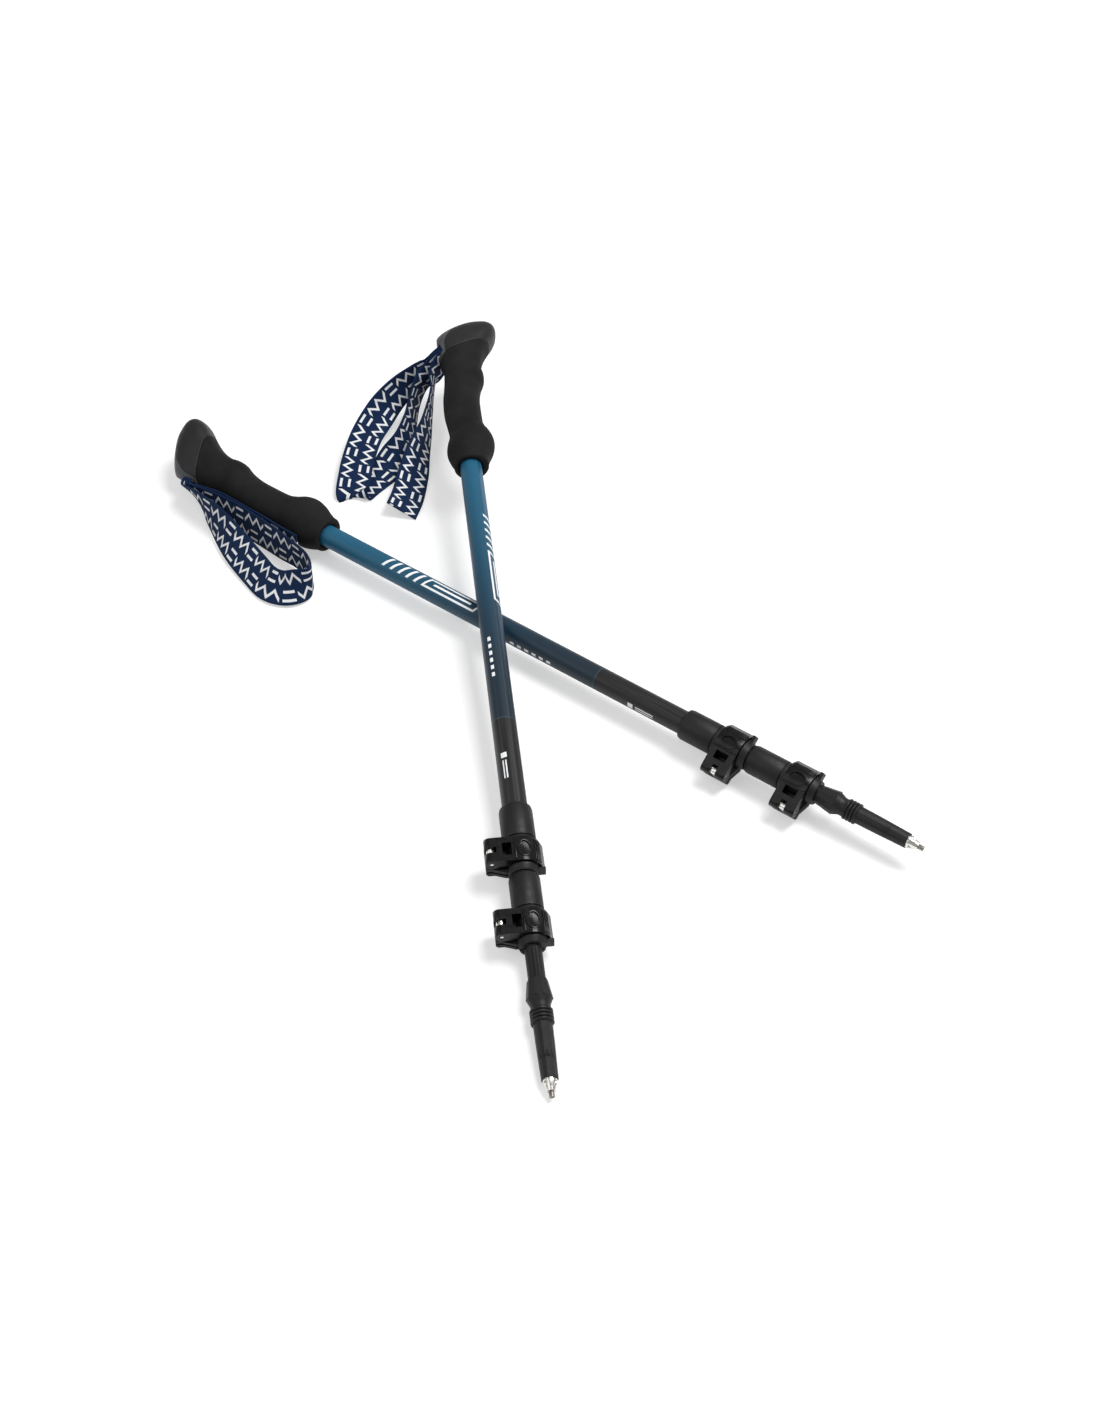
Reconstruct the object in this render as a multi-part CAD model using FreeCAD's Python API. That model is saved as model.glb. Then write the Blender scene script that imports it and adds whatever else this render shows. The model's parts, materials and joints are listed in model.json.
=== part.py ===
import FreeCAD
import Part
import math
import os

# A pair of telescoping trekking poles with lever locks, lying crossed on the ground. Millimetres.
# Each pole is built in its own frame: +Y runs from the head of the grip to the tip, +Z points up
# through the face of the lock levers, and +X is the strap side, where the clamp ears stand.

# ---- shafts ----
UPPER_OD = 16.0
TUBE_WALL = 0.85
TUBE_PLAY = 0.55            # radial room between a tube and the bore that it slides in
MIDDLE_OD = UPPER_OD - 2 * (TUBE_WALL + TUBE_PLAY)
LOWER_OD = MIDDLE_OD - 2 * (TUBE_WALL + TUBE_PLAY)
UPPER_TOP = 44.0            # where the upper shaft starts inside the grip
MIDDLE_TOP = 96.0
LOWER_TOP = 118.0
SLIDE_GAP = 0.05            # radial clearance of a sliding or turning fit
SEAT_GAP = 0.02             # radial clearance of a glued or pressed seat
FACE_GAP = 0.15             # clearance between end faces that turn or slide
BEYOND = 60.0               # a length that reaches past every side of a grip or lock

# ---- grip ----
GRIP_END = 158.0
HEAD_ROWS = (               # station, front reach, rear reach, half thickness
    (-0.9, 26.5, -14.5, 5.0), (1.3, 30.2, -8.5, 9.2), (5.0, 32.4, -1.5, 12.0), (10.5, 32.2, 7.5, 14.0),
    (17.0, 29.8, 15.0, 15.0), (24.0, 25.6, 17.0, 15.2), (31.0, 22.0, 15.6, 14.8), (40.0, 19.0, 13.2, 14.0))
FOAM_ROWS = (
    (50.0, 17.8, 11.4, 13.3), (57.0, 18.7, 11.6, 13.2), (64.0, 18.2, 12.1, 13.2), (72.0, 15.4, 13.0, 13.3),
    (84.0, 13.3, 14.5, 13.4), (100.0, 13.0, 14.8, 13.4), (114.0, 13.5, 13.4, 13.3),
    (121.0, 15.6, 12.8, 13.6), (128.0, 18.6, 13.4, 15.0), (135.0, 19.7, 15.2, 16.0),
    (142.0, 18.4, 16.0, 15.8), (149.0, 15.4, 14.4, 14.0), (154.0, 13.8, 12.6, 12.9),
    (158.0, 13.4, 12.2, 12.5))
HEAD_FRONT = 25.6           # reach of the head where its seam with the foam lies
HEAD_REAR = 13.2
GRIP_SIDES = 20             # the grip's ovals are drawn with this many sides
HEAD_SQUARENESS = 2.7       # 2 is an ellipse, more is squarer
FOAM_SQUARENESS = 2.1
SEAM_FRONT = 23.5           # station of the head's edge at the front of the grip
SEAM_REAR = 40.0            # and at the rear
COVER_OUTER = ((-16.5, -1.5), (-3.0, 4.2), (9.0, 10.8), (14.6, 18.5), (14.4, 27.0), (12.8, 38.5))
COVER_INNER = ((-16.5, -1.5), (-6.5, 6.2), (2.5, 14.0), (7.2, 22.0), (9.0, 27.5))
SOCKET_WALL = 1.8           # of the head's spigot that holds the shaft
SOCKET_OD = UPPER_OD + 2 * SOCKET_WALL
SOCKET_END = 66.0
SOCKET_LAP = 8.0            # how far past the seam the spigot starts inside the head
RIM_CHAMFER = 1.4

# ---- strap and its seat ----
STRAP_WIDTH = 25.0
STRAP_THICKNESS = 1.3
STRAP_LAYER = 2.3           # from one layer of webbing to the next in the slot
STRAP_SLOT_HEIGHT = 7.4
STRAP_SLOT_SIDE = 0.6
STRAP_SLOT_BACK = 4.0       # from the pin to the bottom of the slot
STRAP_SLOT_RUN = 9.5        # from the pin to where the webbing starts to bend
STRAP_PIN_R = 1.6
STRAP_PIN_X = 1.0
STRAP_PIN_Y = 29.5
STRAP_PIN_LENGTH = 27.0
STRAP_SLOT_ANGLE = 12.0     # how far the slot slants towards the tip

# ---- locks ----
UPPER_LOCK_LIP = 469.0
UPPER_SLEEVE_WALL = 2.5
UPPER_LOCK_R = UPPER_OD / 2 + UPPER_SLEEVE_WALL
LOWER_LOCK_GAP = 0.4        # between the closed upper lock and the lip of the lower one
LOWER_SLEEVE_WALL = 3.0
LOWER_LOCK_R = MIDDLE_OD / 2 + LOWER_SLEEVE_WALL
LOCK_LENGTH = 50.0
LEVER_WIDTH = 17.4
LEVER_FOOT = 4.6            # from the lever to the end of the lock
LEVER_LEAD = 3.2            # from the seam to the lever
LEVER_START = LOCK_LENGTH - LEVER_FOOT - LEVER_WIDTH
LOCK_SLEEVE = LEVER_START - LEVER_LEAD
LOCK_SEAT_GAP = 1.3         # from the end of the outer tube to the seam
LOCK_SEAT = LOCK_SLEEVE - LOCK_SEAT_GAP
UPPER_END = UPPER_LOCK_LIP + LOCK_SEAT
LIP_ROUND = 2.6             # the rounded mouth of the sleeve: its length and depth
LIP_DEPTH = 1.6
SEAM_WIDTH = 0.6
LEVER_THICKNESS = 2.2
LEVER_GAP = 0.4             # between the clamp barrel and the lever
LEVER_SIDE_GAP = 0.3        # between the lever's sides and the body
LEVER_WRAP = 186.0          # degrees around the barrel
BARREL_STEP = 0.9           # how far the barrel lies below the sleeve
COLLAR_STEP = 0.2           # how far the collar before the lever lies below the sleeve
END_TAPER = 1.7             # how much the end ring narrows
END_WALL = 2.2              # the parts that stand on the end ring stop this far from its end
BUSH_WALL = 1.1
BUSH_LEAD = 2.0             # from the seam to the bush
BUSH_SET_BACK = 0.6
STOP_LENGTH = 1.2           # the shoulder between the outer tube and the bush
STOP_GAP = 0.5
SLIT_WIDTH = 1.4
EAR_ROOT = 0.6              # the ears start this far outside the bush
EAR_SIDE = 0.6              # and this far inside the lever's sides
EAR_BEYOND_PIVOT = 3.6
EAR_BOTTOM = -2.9
EAR_STEP = 0.9              # the lower ear is thicker under the screw
EAR_CHAMFER = 1.6
BRACE_STEP = 0.5
SADDLE_THICKNESS = 0.8
SADDLE_GAP = 0.25
SADDLE_HALF = 3.1
CAM_R = 3.8
CAM_TURN = -110.0           # where the cam's round ends, in degrees around the pivot
INNER_CLEARANCE = 0.5       # between the upper ear and the lever's inner end
INNER_TURN = 172.0
FLARE_TURN = 158.0          # where the thumb end starts to flare
THUMB_LIFT = 1.5
THUMB_ROOT = 0.1
THUMB_BACK = 5.0            # degrees
BOSS_LONG = 4.8             # half lengths of the raised oval on the lever
BOSS_WIDE = 6.4
BOSS_RIM = 1.4
BOSS_RISE = 0.6
BOSS_DISH = 0.7
BOSS_LEAN = 10.0            # degrees past the top of the lever
RIDGE_R = 0.8               # the ridge between the oval and the window
RIDGE_AT = 3.6
RIB_COUNT = 4
RIB_R = 0.45
RIB_START = 134.0
RIB_STEP = 7.5
RIB_SIDE = 1.2
WINDOW_TO_PIVOT = 7.0
WINDOW_LONG = 5.6
WINDOW_WIDE = 9.0
PIVOT_STAND = 8.0           # from the sleeve's radius to the pivot pin
PIVOT_R = 1.25
PIVOT_SET_BACK = 0.3
SCREW_R = 1.5
SCREW_GAP = 0.3
EYE_R = 2.6
EYE_WIDTH = 3.6
FORK_BACK = 3.4             # from the pivot to the bottom of the fork
NUT_R = 3.3
NUT_HEIGHT = 2.6
NUT_FLUTES = 10
NUT_FLUTE_R = 0.9
NUT_FLUTE_STAND = 0.5

# ---- ferrule and tip ----
FERRULE_GAP = 1.0           # from the closed lower lock to the ferrule
FERRULE_WALL = 1.0          # round the lower shaft at the ferrule's mouth
FERRULE_TOP_R = LOWER_OD / 2 + FERRULE_WALL
FLARE_RISE = 1.8
FLARE_R = FERRULE_TOP_R + FLARE_RISE
FLARE_LENGTH = 12.0
NECK_WALL = 0.7
NECK_R = LOWER_OD / 2 + NECK_WALL
NECK_AT = 19.0
RING_RISE = 0.95
RING_R = NECK_R + RING_RISE
RING_END = 28.0
RING_COUNT = 4
RING_CREST = 1.0
NECK_LENGTH = 3.0
SHANK_WALL = 0.5
FERRULE_R = LOWER_OD / 2 + SHANK_WALL
SHANK_LAP = 1.0
TAPER_WALL = 0.3
TAPER_R = LOWER_OD / 2 + TAPER_WALL
TAPER_LENGTH = 22.0
FERRULE_TIP_R = 4.9
FERRULE_LENGTH = 62.6
FLARE_FACETS = 10
CROWN_LENGTH = 7.0
CROWN_R = 4.2
CROWN_TIP_R = 2.5
CARBIDE_R = 1.6
CARBIDE_REACH = 3.4
CROWN_SHANK = 9.0
CROWN_SHANK_R = 2.6
CROWN_RIM = 1.7
CROWN_LOBES = 4
CROWN_FLUTE_R = 1.3
CROWN_FLUTE_STAND = 0.2
CARBIDE_START = 1.0
HOLLOW_R = 1.9
HOLLOW_STAND = 1.3
FERRULE_WEB = 3.0           # between the shaft's end and the crown's shank
FERRULE_FACETS = 14

# ---- guides on the inner ends of the sliding tubes ----
GUIDE_HEAD = 5.0
GUIDE_SPIGOT = 11.0
GUIDE_WALL = 1.3
GUIDE_CHAMFER = 0.7

# ---- where the straps lie: (ahead of the head, towards the strap side, height), width direction ----
FIRST_LOOP = (
    ((36.5, 15.5, 11), (0, 0.6, 0.8)), ((47, 19.5, 13), (0, 0.35, 0.94)), ((66, 21.5, 14), (0, 0, 1)),
    ((89, 22.5, 14), (0, -0.15, 1)), ((113, 24, 14), (0, -0.15, 1)), ((134, 26, 14), (0, -0.1, 1)),
    ((150, 27.5, 14), (0, 0, 1)), ((163, 30, 14), (0, 0, 1)), ((173, 35, 14), (0, 0, 1)),
    ((178, 42, 14), (0, -0.1, 1)), ((174, 50, 13), (-0.3, -0.3, 0.9)),
    ((165, 56, 10.5), (-0.35, -0.65, 0.68)), ((152, 58, 9.5), (-0.25, -0.75, 0.6)),
    ((134, 53, 9.5), (-0.1, -0.8, 0.6)), ((112, 46, 10.5), (-0.05, -0.75, 0.65)),
    ((91, 39, 13), (0, -0.55, 0.83)), ((75, 33.5, 14), (0, -0.3, 0.95)), ((58, 28, 13.8), (0, 0.05, 1)),
    ((45, 23, 12.8), (0, 0.4, 0.92)), ((34.8, 18, 11), (0, 0.62, 0.78)))
FIRST_TAIL = (
    ((38.4, 14.2, 11), (0, 0.6, 0.8)), ((50, 17, 13), (0, 0.35, 0.94)), ((70, 18.2, 14), (0, 0.05, 1)),
    ((90, 19, 14), (0, 0, 1)), ((112, 19.5, 14), (0, 0, 1)), ((130, 20.5, 14), (0, 0, 1)),
    ((147, 21, 14), (0, 0, 1)))
SECOND_LOOP = (
    ((31, 20, 45), (0, -0.3, -0.95)), ((30.5, 29, 40), (-0.15, -0.45, -0.87)),
    ((34, 42, 33), (-0.1, -0.55, -0.83)), ((42, 54, 26), (0.1, -0.62, -0.78)),
    ((54, 65, 19), (0.33, -0.83, -0.45)), ((71, 75, 14), (0.34, -0.92, -0.15)),
    ((96, 83, 9.5), (0.15, -0.98, -0.1)), ((111, 86, 7.2), (0.1, -0.98, -0.1)),
    ((122, 88, 5.2), (0.1, -0.98, -0.1)), ((128, 89, 3.2), (0.1, -0.98, -0.02)),
    ((122, 83, 1.3), (0.3, -0.95, 0)), ((111, 71, 1.5), (0.55, -0.83, 0)),
    ((96, 59, 4.2), (0.63, -0.75, -0.12)), ((79, 48, 9.8), (0.3, -0.72, -0.62)),
    ((58, 41, 15), (-0.05, -0.6, -0.8)), ((43, 34, 24), (-0.25, -0.45, -0.86)),
    ((36, 25, 37), (-0.15, -0.4, -0.9)), ((34, 19, 44), (0, -0.2, -0.97)))
SECOND_TAIL = (
    ((38, 18, 43), (-0.1, -0.05, -0.98)), ((43, 21.5, 35), (-0.2, 0, -0.97)),
    ((54, 25.5, 24), (-0.27, -0.25, -0.93)), ((71, 30, 16.5), (-0.25, -0.42, -0.87)),
    ((91, 35, 12.2), (-0.2, -0.62, -0.76)), ((113, 41, 8.4), (-0.05, -0.86, -0.5)),
    ((136, 47, 6.4), (-0.05, -0.92, -0.4)), ((156, 53, 9.6), (-0.1, -0.75, -0.65)))

# ---- how the two poles lie ----
CROSS_X = -14.05            # where the shafts cross, from the middle of the whole layout
CROSS_Y = 36.56
POLES = (
    {"name": "first", "heading": -37.2, "cross": 306.6, "roll": 35.0, "lower_out": 0.0, "strap_upright": 1,
     "layers": (0, -1, 1), "loop": FIRST_LOOP, "tail": FIRST_TAIL},
    {"name": "second", "heading": -83.3, "cross": 293.5, "roll": 0.0, "lower_out": 21.0, "strap_upright": -1,
     "layers": (-1, 0, 1), "loop": SECOND_LOOP, "tail": SECOND_TAIL})
POLE_GAP = 0.3              # between the two shafts where they cross
REST_GAP = 0.02             # between the first pole and the ground
ALONG = FreeCAD.Vector(0, 1, 0)
UP = FreeCAD.Vector(0, 0, 1)
ORIGIN = FreeCAD.Vector(0, 0, 0)


def rod(radius, start, end, x=0.0, z=0.0):
    return Part.makeCylinder(radius, end - start, FreeCAD.Vector(x, start, z), ALONG)


def post(radius, bottom, top, x, y):
    return Part.makeCylinder(radius, top - bottom, FreeCAD.Vector(x, y, bottom), UP)


def tube(outer, inner, start, end):
    return rod(outer, start, end).cut(rod(inner, start, end))


def block(x0, x1, y0, y1, z0, z1):
    return Part.makeBox(x1 - x0, y1 - y0, z1 - z0, FreeCAD.Vector(x0, y0, z0))


def turned(profile):
    """A solid of revolution about the pole axis, from (radius, station) points."""
    points = [FreeCAD.Vector(radius, station, 0) for radius, station in profile]
    face = Part.Face(Part.makePolygon(points + points[:1]))
    return face.revolve(ORIGIN, ALONG, 360)


def single(shape):
    """The one solid of a result, with leftover splitting edges removed."""
    return shape.removeSplitter().Solids[0]


# ---------------------------------------------------------------- grip
def oval_corners(row, squareness):
    """The (x, z) corners of an oval: its reach to the front (-X) and rear (+X), and half its thickness."""
    front, rear, half = row[1:]
    centre, radius = (rear - front) / 2, (front + rear) / 2
    corners = []
    for side in range(GRIP_SIDES):
        angle = 2 * math.pi * (side + 0.5) / GRIP_SIDES
        across, upward = math.cos(angle), math.sin(angle)
        x = centre + radius * math.copysign(abs(across) ** (2 / squareness), across)
        corners.append((x, half * math.copysign(abs(upward) ** (2 / squareness), upward)))
    return corners


def oval(row, squareness):
    points = [FreeCAD.Vector(x, row[0], z) for x, z in oval_corners(row, squareness)]
    return Part.makePolygon(points + points[:1])


def grip_form():
    """The outer form of the whole grip, head and foam together."""
    rings = [oval(row, HEAD_SQUARENESS) for row in HEAD_ROWS]
    return Part.makeLoft(rings + [oval(row, FOAM_SQUARENESS) for row in FOAM_ROWS], True, True)


def side_prism(points, half_width):
    """A prism across the pole (along Z) on a closed outline of (x, station) points."""
    corners = [FreeCAD.Vector(x, y, -half_width) for x, y in points]
    face = Part.Face(Part.makePolygon(corners + corners[:1]))
    return face.extrude(FreeCAD.Vector(0, 0, 2 * half_width))


def seam_prism():
    """Everything on the tip side of the slanted seam between head and foam."""
    slope = (SEAM_REAR - SEAM_FRONT) / (HEAD_FRONT + HEAD_REAR)
    front = SEAM_FRONT - slope * (BEYOND - HEAD_FRONT)
    rear = SEAM_REAR + slope * (BEYOND - HEAD_REAR)
    return side_prism([(-BEYOND, front), (BEYOND, rear), (BEYOND, GRIP_END + BEYOND),
                       (-BEYOND, GRIP_END + BEYOND)], BEYOND)


def rear_prism(line):
    """Everything behind a line of (x, station) points that runs down the rear of the head."""
    first, last = line[0], line[-1]
    beyond = [(last[0], last[1] + BEYOND), (BEYOND, last[1] + BEYOND), (BEYOND, -BEYOND),
              (first[0], -BEYOND)]
    return side_prism(list(line) + beyond, BEYOND)


def strap_slot():
    """The slot for the strap, from its pin to the rear face of the head."""
    half = STRAP_WIDTH / 2 + STRAP_SLOT_SIDE
    slot = block(-STRAP_SLOT_BACK, BEYOND, -STRAP_SLOT_HEIGHT / 2, STRAP_SLOT_HEIGHT / 2, -half, half)
    slot.rotate(ORIGIN, UP, STRAP_SLOT_ANGLE)
    slot.translate(FreeCAD.Vector(STRAP_PIN_X, STRAP_PIN_Y, 0))
    return slot


def grip_head(form):
    socket = tube(SOCKET_OD / 2, UPPER_OD / 2 + SEAT_GAP, SEAM_FRONT + SOCKET_LAP, SOCKET_END)
    head = form.cut(seam_prism()).cut(rear_prism(COVER_INNER)).fuse(socket)
    head = head.cut(rod(UPPER_OD / 2 + SEAT_GAP, UPPER_TOP - SEAT_GAP, SOCKET_END))
    head = head.cut(strap_slot())
    pin = post(STRAP_PIN_R + SEAT_GAP, -STRAP_PIN_LENGTH / 2, BEYOND, STRAP_PIN_X, STRAP_PIN_Y)
    return single(head.cut(pin))


def rear_cover(form):
    """The flat-faced plate on the rear of the head, above the mouth of the strap slot."""
    band = rear_prism(COVER_INNER).cut(rear_prism(COVER_OUTER)).cut(seam_prism())
    return single(form.common(band).cut(strap_slot()))


def strap_pin():
    return post(STRAP_PIN_R, -STRAP_PIN_LENGTH / 2, STRAP_PIN_LENGTH / 2, STRAP_PIN_X, STRAP_PIN_Y)


def grip_foam(form):
    foam = form.common(seam_prism()).cut(rod(SOCKET_OD / 2 + SEAT_GAP, 0, SOCKET_END + SEAT_GAP))
    foam = foam.cut(rod(UPPER_OD / 2 + SEAT_GAP, SOCKET_END, GRIP_END))
    mouth = Part.makeCone(UPPER_OD / 2, UPPER_OD / 2 + RIM_CHAMFER, RIM_CHAMFER,
                          FreeCAD.Vector(0, GRIP_END - RIM_CHAMFER, 0), ALONG)
    return single(foam.cut(mouth))


# ---------------------------------------------------------------- lever locks
class Lock:
    """Sizes of one lever lock. It is glued on the end of one tube and clamps the next one."""

    def __init__(self, lip, sleeve_r, seat_od, slider_od):
        self.lip = lip
        self.sleeve_r = sleeve_r
        self.seat_r = seat_od / 2 + SEAT_GAP
        self.seat_end = lip + LOCK_SEAT + SEAT_GAP
        self.slider_r = slider_od / 2
        self.end = lip + LOCK_LENGTH
        self.seam = lip + LOCK_SLEEVE
        self.barrel_r = sleeve_r - BARREL_STEP
        self.bush_r = self.slider_r + SLIDE_GAP + BUSH_WALL
        self.inner_r = self.barrel_r + LEVER_GAP
        self.outer_r = self.inner_r + LEVER_THICKNESS
        self.lever_start = lip + LEVER_START
        self.lever_end = self.lever_start + LEVER_WIDTH
        self.middle = (self.lever_start + self.lever_end) / 2
        self.pivot_x = sleeve_r + PIVOT_STAND
        self.pivot_z = self.outer_r - CAM_R
        self.ear_top = self.pivot_z - CAM_R - SADDLE_THICKNESS - SLIDE_GAP
        self.ear_root = self.bush_r + EAR_ROOT
        self.ear_tip = self.pivot_x + EAR_BEYOND_PIVOT
        self.nut_top = EAR_BOTTOM - EAR_STEP - FACE_GAP
        self.nut_bottom = self.nut_top - NUT_HEIGHT


def locks():
    """The upper lock on the upper shaft, and the lower one on the middle shaft right behind it."""
    upper = Lock(UPPER_LOCK_LIP, UPPER_LOCK_R, UPPER_OD, MIDDLE_OD)
    return upper, Lock(upper.end + LOWER_LOCK_GAP, LOWER_LOCK_R, MIDDLE_OD, LOWER_OD)


def lock_barrel(lock):
    """The turned form of the lock: sleeve, seam, collar, clamp barrel and conical end ring."""
    collar_end, ring_start = lock.lever_start - LEVER_SIDE_GAP, lock.lever_end + LEVER_SIDE_GAP
    collar_r, stop_end = lock.sleeve_r - COLLAR_STEP, lock.seat_end + STOP_LENGTH
    return turned([
        (lock.seat_r, lock.lip), (lock.sleeve_r - LIP_DEPTH, lock.lip),
        (lock.sleeve_r - LIP_DEPTH / 4, lock.lip + LIP_ROUND / 3), (lock.sleeve_r, lock.lip + LIP_ROUND),
        (lock.sleeve_r, lock.seam), (lock.barrel_r, lock.seam), (lock.barrel_r, lock.seam + SEAM_WIDTH),
        (collar_r, lock.seam + SEAM_WIDTH), (collar_r, collar_end), (lock.barrel_r, collar_end),
        (lock.barrel_r, ring_start), (collar_r, ring_start), (collar_r - END_TAPER, lock.end),
        (lock.bush_r + SEAT_GAP, lock.end), (lock.bush_r + SEAT_GAP, stop_end),
        (lock.slider_r + STOP_GAP, stop_end), (lock.slider_r + STOP_GAP, lock.seat_end),
        (lock.seat_r, lock.seat_end)])


def lock_ears(lock):
    """The two clamp ears as one block, before the slit parts them."""
    start, end = lock.lever_start + EAR_SIDE, lock.lever_end - EAR_SIDE
    bottom = EAR_BOTTOM - EAR_STEP
    profile = [(lock.ear_root, EAR_BOTTOM), (lock.pivot_x - NUT_R - EAR_STEP, bottom),
               (lock.ear_tip - EAR_CHAMFER, bottom), (lock.ear_tip, bottom + EAR_CHAMFER),
               (lock.ear_tip, lock.ear_top - EAR_CHAMFER / 2),
               (lock.ear_tip - EAR_CHAMFER / 2, lock.ear_top), (lock.ear_root, lock.ear_top)]
    corners = [FreeCAD.Vector(x, start, z) for x, z in profile]
    return Part.Face(Part.makePolygon(corners + corners[:1])).extrude(FreeCAD.Vector(0, end - start, 0))


def lock_brace(lock):
    """The web that ties the ears back to the end ring."""
    ear_end, foot = lock.lever_end - EAR_SIDE, lock.end - END_WALL
    root = ear_end - EAR_SIDE
    outline = [(lock.ear_root, root), (lock.pivot_x, root), (lock.pivot_x, ear_end), (lock.sleeve_r, foot),
               (lock.ear_root, foot)]
    corners = [FreeCAD.Vector(x, y, EAR_BOTTOM) for x, y in outline]
    height = lock.ear_top - BRACE_STEP - EAR_BOTTOM
    return Part.Face(Part.makePolygon(corners + corners[:1])).extrude(FreeCAD.Vector(0, 0, height))


def lock_body(lock):
    rest = block(-lock.outer_r - THUMB_LIFT, -lock.ear_root, lock.lever_end + LEVER_SIDE_GAP,
                 lock.end - END_WALL, EAR_BOTTOM, -EAR_BOTTOM)
    body = lock_barrel(lock).fuse([lock_ears(lock), lock_brace(lock), rest])
    slit = block(lock.slider_r - BUSH_WALL, lock.ear_tip + BUSH_WALL, lock.seam + SEAM_WIDTH / 2,
                 lock.end + BUSH_WALL, -SLIT_WIDTH / 2, SLIT_WIDTH / 2)
    inside, outside = lock.bush_r - BUSH_WALL, lock.sleeve_r + BUSH_WALL
    seam_end = lock.seam + SEAM_WIDTH
    half_seam = turned([(inside, lock.seam), (outside, lock.seam), (outside, seam_end), (inside, seam_end)])
    half_seam = half_seam.common(block(SLIT_WIDTH, BEYOND, lock.seam, seam_end, -BEYOND, BEYOND))
    screw = post(SCREW_R + SCREW_GAP, -BEYOND, BEYOND, lock.pivot_x, lock.middle)
    return single(body.cut(slit).cut(half_seam).cut(screw))


def lock_bush(lock):
    """The split plastic bush that the clamp squeezes on the inner tube."""
    start, end = lock.seam + BUSH_LEAD, lock.end - BUSH_SET_BACK
    slit = block(lock.slider_r - BUSH_WALL, lock.bush_r + BUSH_WALL, lock.lip, lock.end + BUSH_WALL,
                 -SLIT_WIDTH / 2, SLIT_WIDTH / 2)
    return single(tube(lock.bush_r, lock.slider_r + SLIDE_GAP, start, end).cut(slit))


def polar(radius, degrees, station=0.0):
    angle = math.radians(degrees)
    return FreeCAD.Vector(radius * math.cos(angle), station, radius * math.sin(angle))


def arc(centre, radius, start, end):
    """A circular arc across the pole between two angles in degrees, from +X towards +Z."""
    points = [centre + polar(radius, start + (end - start) * part) for part in (0, 0.5, 1)]
    return Part.Arc(*points).toShape()


def lever_bar(lock, rise=0.0):
    """The lever's side profile drawn along its width: cam, flat arm, wrap around the barrel and thumb end.
    A rise lifts its outer face."""
    pivot = FreeCAD.Vector(lock.pivot_x, 0, lock.pivot_z)
    outer, cam_r = lock.outer_r + rise, CAM_R + rise
    inner_start = math.degrees(math.asin((lock.ear_top + INNER_CLEARANCE) / lock.inner_r))
    cam_end, inner_first = pivot + polar(cam_r, CAM_TURN), polar(lock.inner_r, inner_start)
    inner_last, flare = polar(lock.inner_r, INNER_TURN), polar(outer, FLARE_TURN)
    thumb = polar(outer + THUMB_LIFT, LEVER_WRAP)
    thumb_inner = polar(lock.outer_r + THUMB_ROOT, LEVER_WRAP + THUMB_BACK)
    edges = [arc(ORIGIN, outer, FLARE_TURN, 90), Part.makeLine(polar(outer, 90), pivot + polar(cam_r, 90)),
             arc(pivot, cam_r, 90, CAM_TURN), Part.makeLine(cam_end, inner_first),
             arc(ORIGIN, lock.inner_r, inner_start, INNER_TURN), Part.makeLine(inner_last, thumb_inner),
             Part.makeLine(thumb_inner, thumb), Part.makeLine(thumb, flare)]
    profile = Part.Wire(Part.__sortEdges__(edges))
    profile.translate(FreeCAD.Vector(0, lock.lever_start, 0))
    return Part.Face(profile).extrude(FreeCAD.Vector(0, LEVER_WIDTH, 0))


def boss_prism(lock, long_half, wide_half):
    """An oval bar through the lever's face, leaning with the face."""
    circle = Part.Wire(Part.makeCircle(1.0, ORIGIN, UP))
    matrix = FreeCAD.Matrix()
    matrix.scale(long_half, wide_half, 1.0)
    bar = Part.Face(circle.transformGeometry(matrix)).extrude(FreeCAD.Vector(0, 0, 2 * lock.outer_r))
    bar.rotate(ORIGIN, ALONG, -BOSS_LEAN)
    bar.translate(FreeCAD.Vector(0, lock.middle, 0))
    return bar


def lock_lever(lock):
    lever = lever_bar(lock)
    boss = lever_bar(lock, BOSS_RISE).common(boss_prism(lock, BOSS_LONG, BOSS_WIDE))
    ridge = rod(RIDGE_R, lock.lever_start + RIDGE_R, lock.lever_end - RIDGE_R, RIDGE_AT, lock.outer_r)
    lever = lever.fuse([boss, ridge])
    rib_start, rib_end = lock.lever_start + RIB_SIDE, lock.lever_end - RIB_SIDE
    for index in range(RIB_COUNT):
        spot = polar(lock.outer_r, RIB_START + RIB_STEP * index)
        lever = lever.fuse(rod(RIB_R, rib_start, rib_end, spot.x, spot.z))
    dish = boss_prism(lock, BOSS_LONG - BOSS_RIM, BOSS_WIDE - BOSS_RIM).cut(lever_bar(lock, -BOSS_DISH))
    window_end, half = lock.pivot_x - WINDOW_TO_PIVOT, WINDOW_WIDE / 2
    window = block(window_end - WINDOW_LONG, window_end, lock.middle - half, lock.middle + half, 0, BEYOND)
    half = EYE_WIDTH / 2 + FACE_GAP
    fork = block(lock.pivot_x - FORK_BACK, BEYOND, lock.middle - half, lock.middle + half, 0, BEYOND)
    pin = rod(PIVOT_R + SLIDE_GAP, lock.lever_start, lock.lever_end, lock.pivot_x, lock.pivot_z)
    return single(lever.cut(dish.common(upper_half(lock))).cut(window).cut(fork).cut(pin))


def upper_half(lock):
    """The space above the lever's wrap, where the oval's dish may cut."""
    return block(-BEYOND, BEYOND, lock.lever_start, lock.lever_end, lock.inner_r - BOSS_DISH, BEYOND)


def lock_saddle(lock):
    """The metal plate under the cam."""
    plate = block(lock.pivot_x - SADDLE_HALF, lock.pivot_x + SADDLE_HALF, lock.lever_start + 2 * EAR_SIDE,
                  lock.lever_end - 2 * EAR_SIDE, lock.ear_top, lock.ear_top + SADDLE_THICKNESS - SADDLE_GAP)
    return plate.cut(post(SCREW_R + SCREW_GAP, 0, BEYOND, lock.pivot_x, lock.middle))


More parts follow.
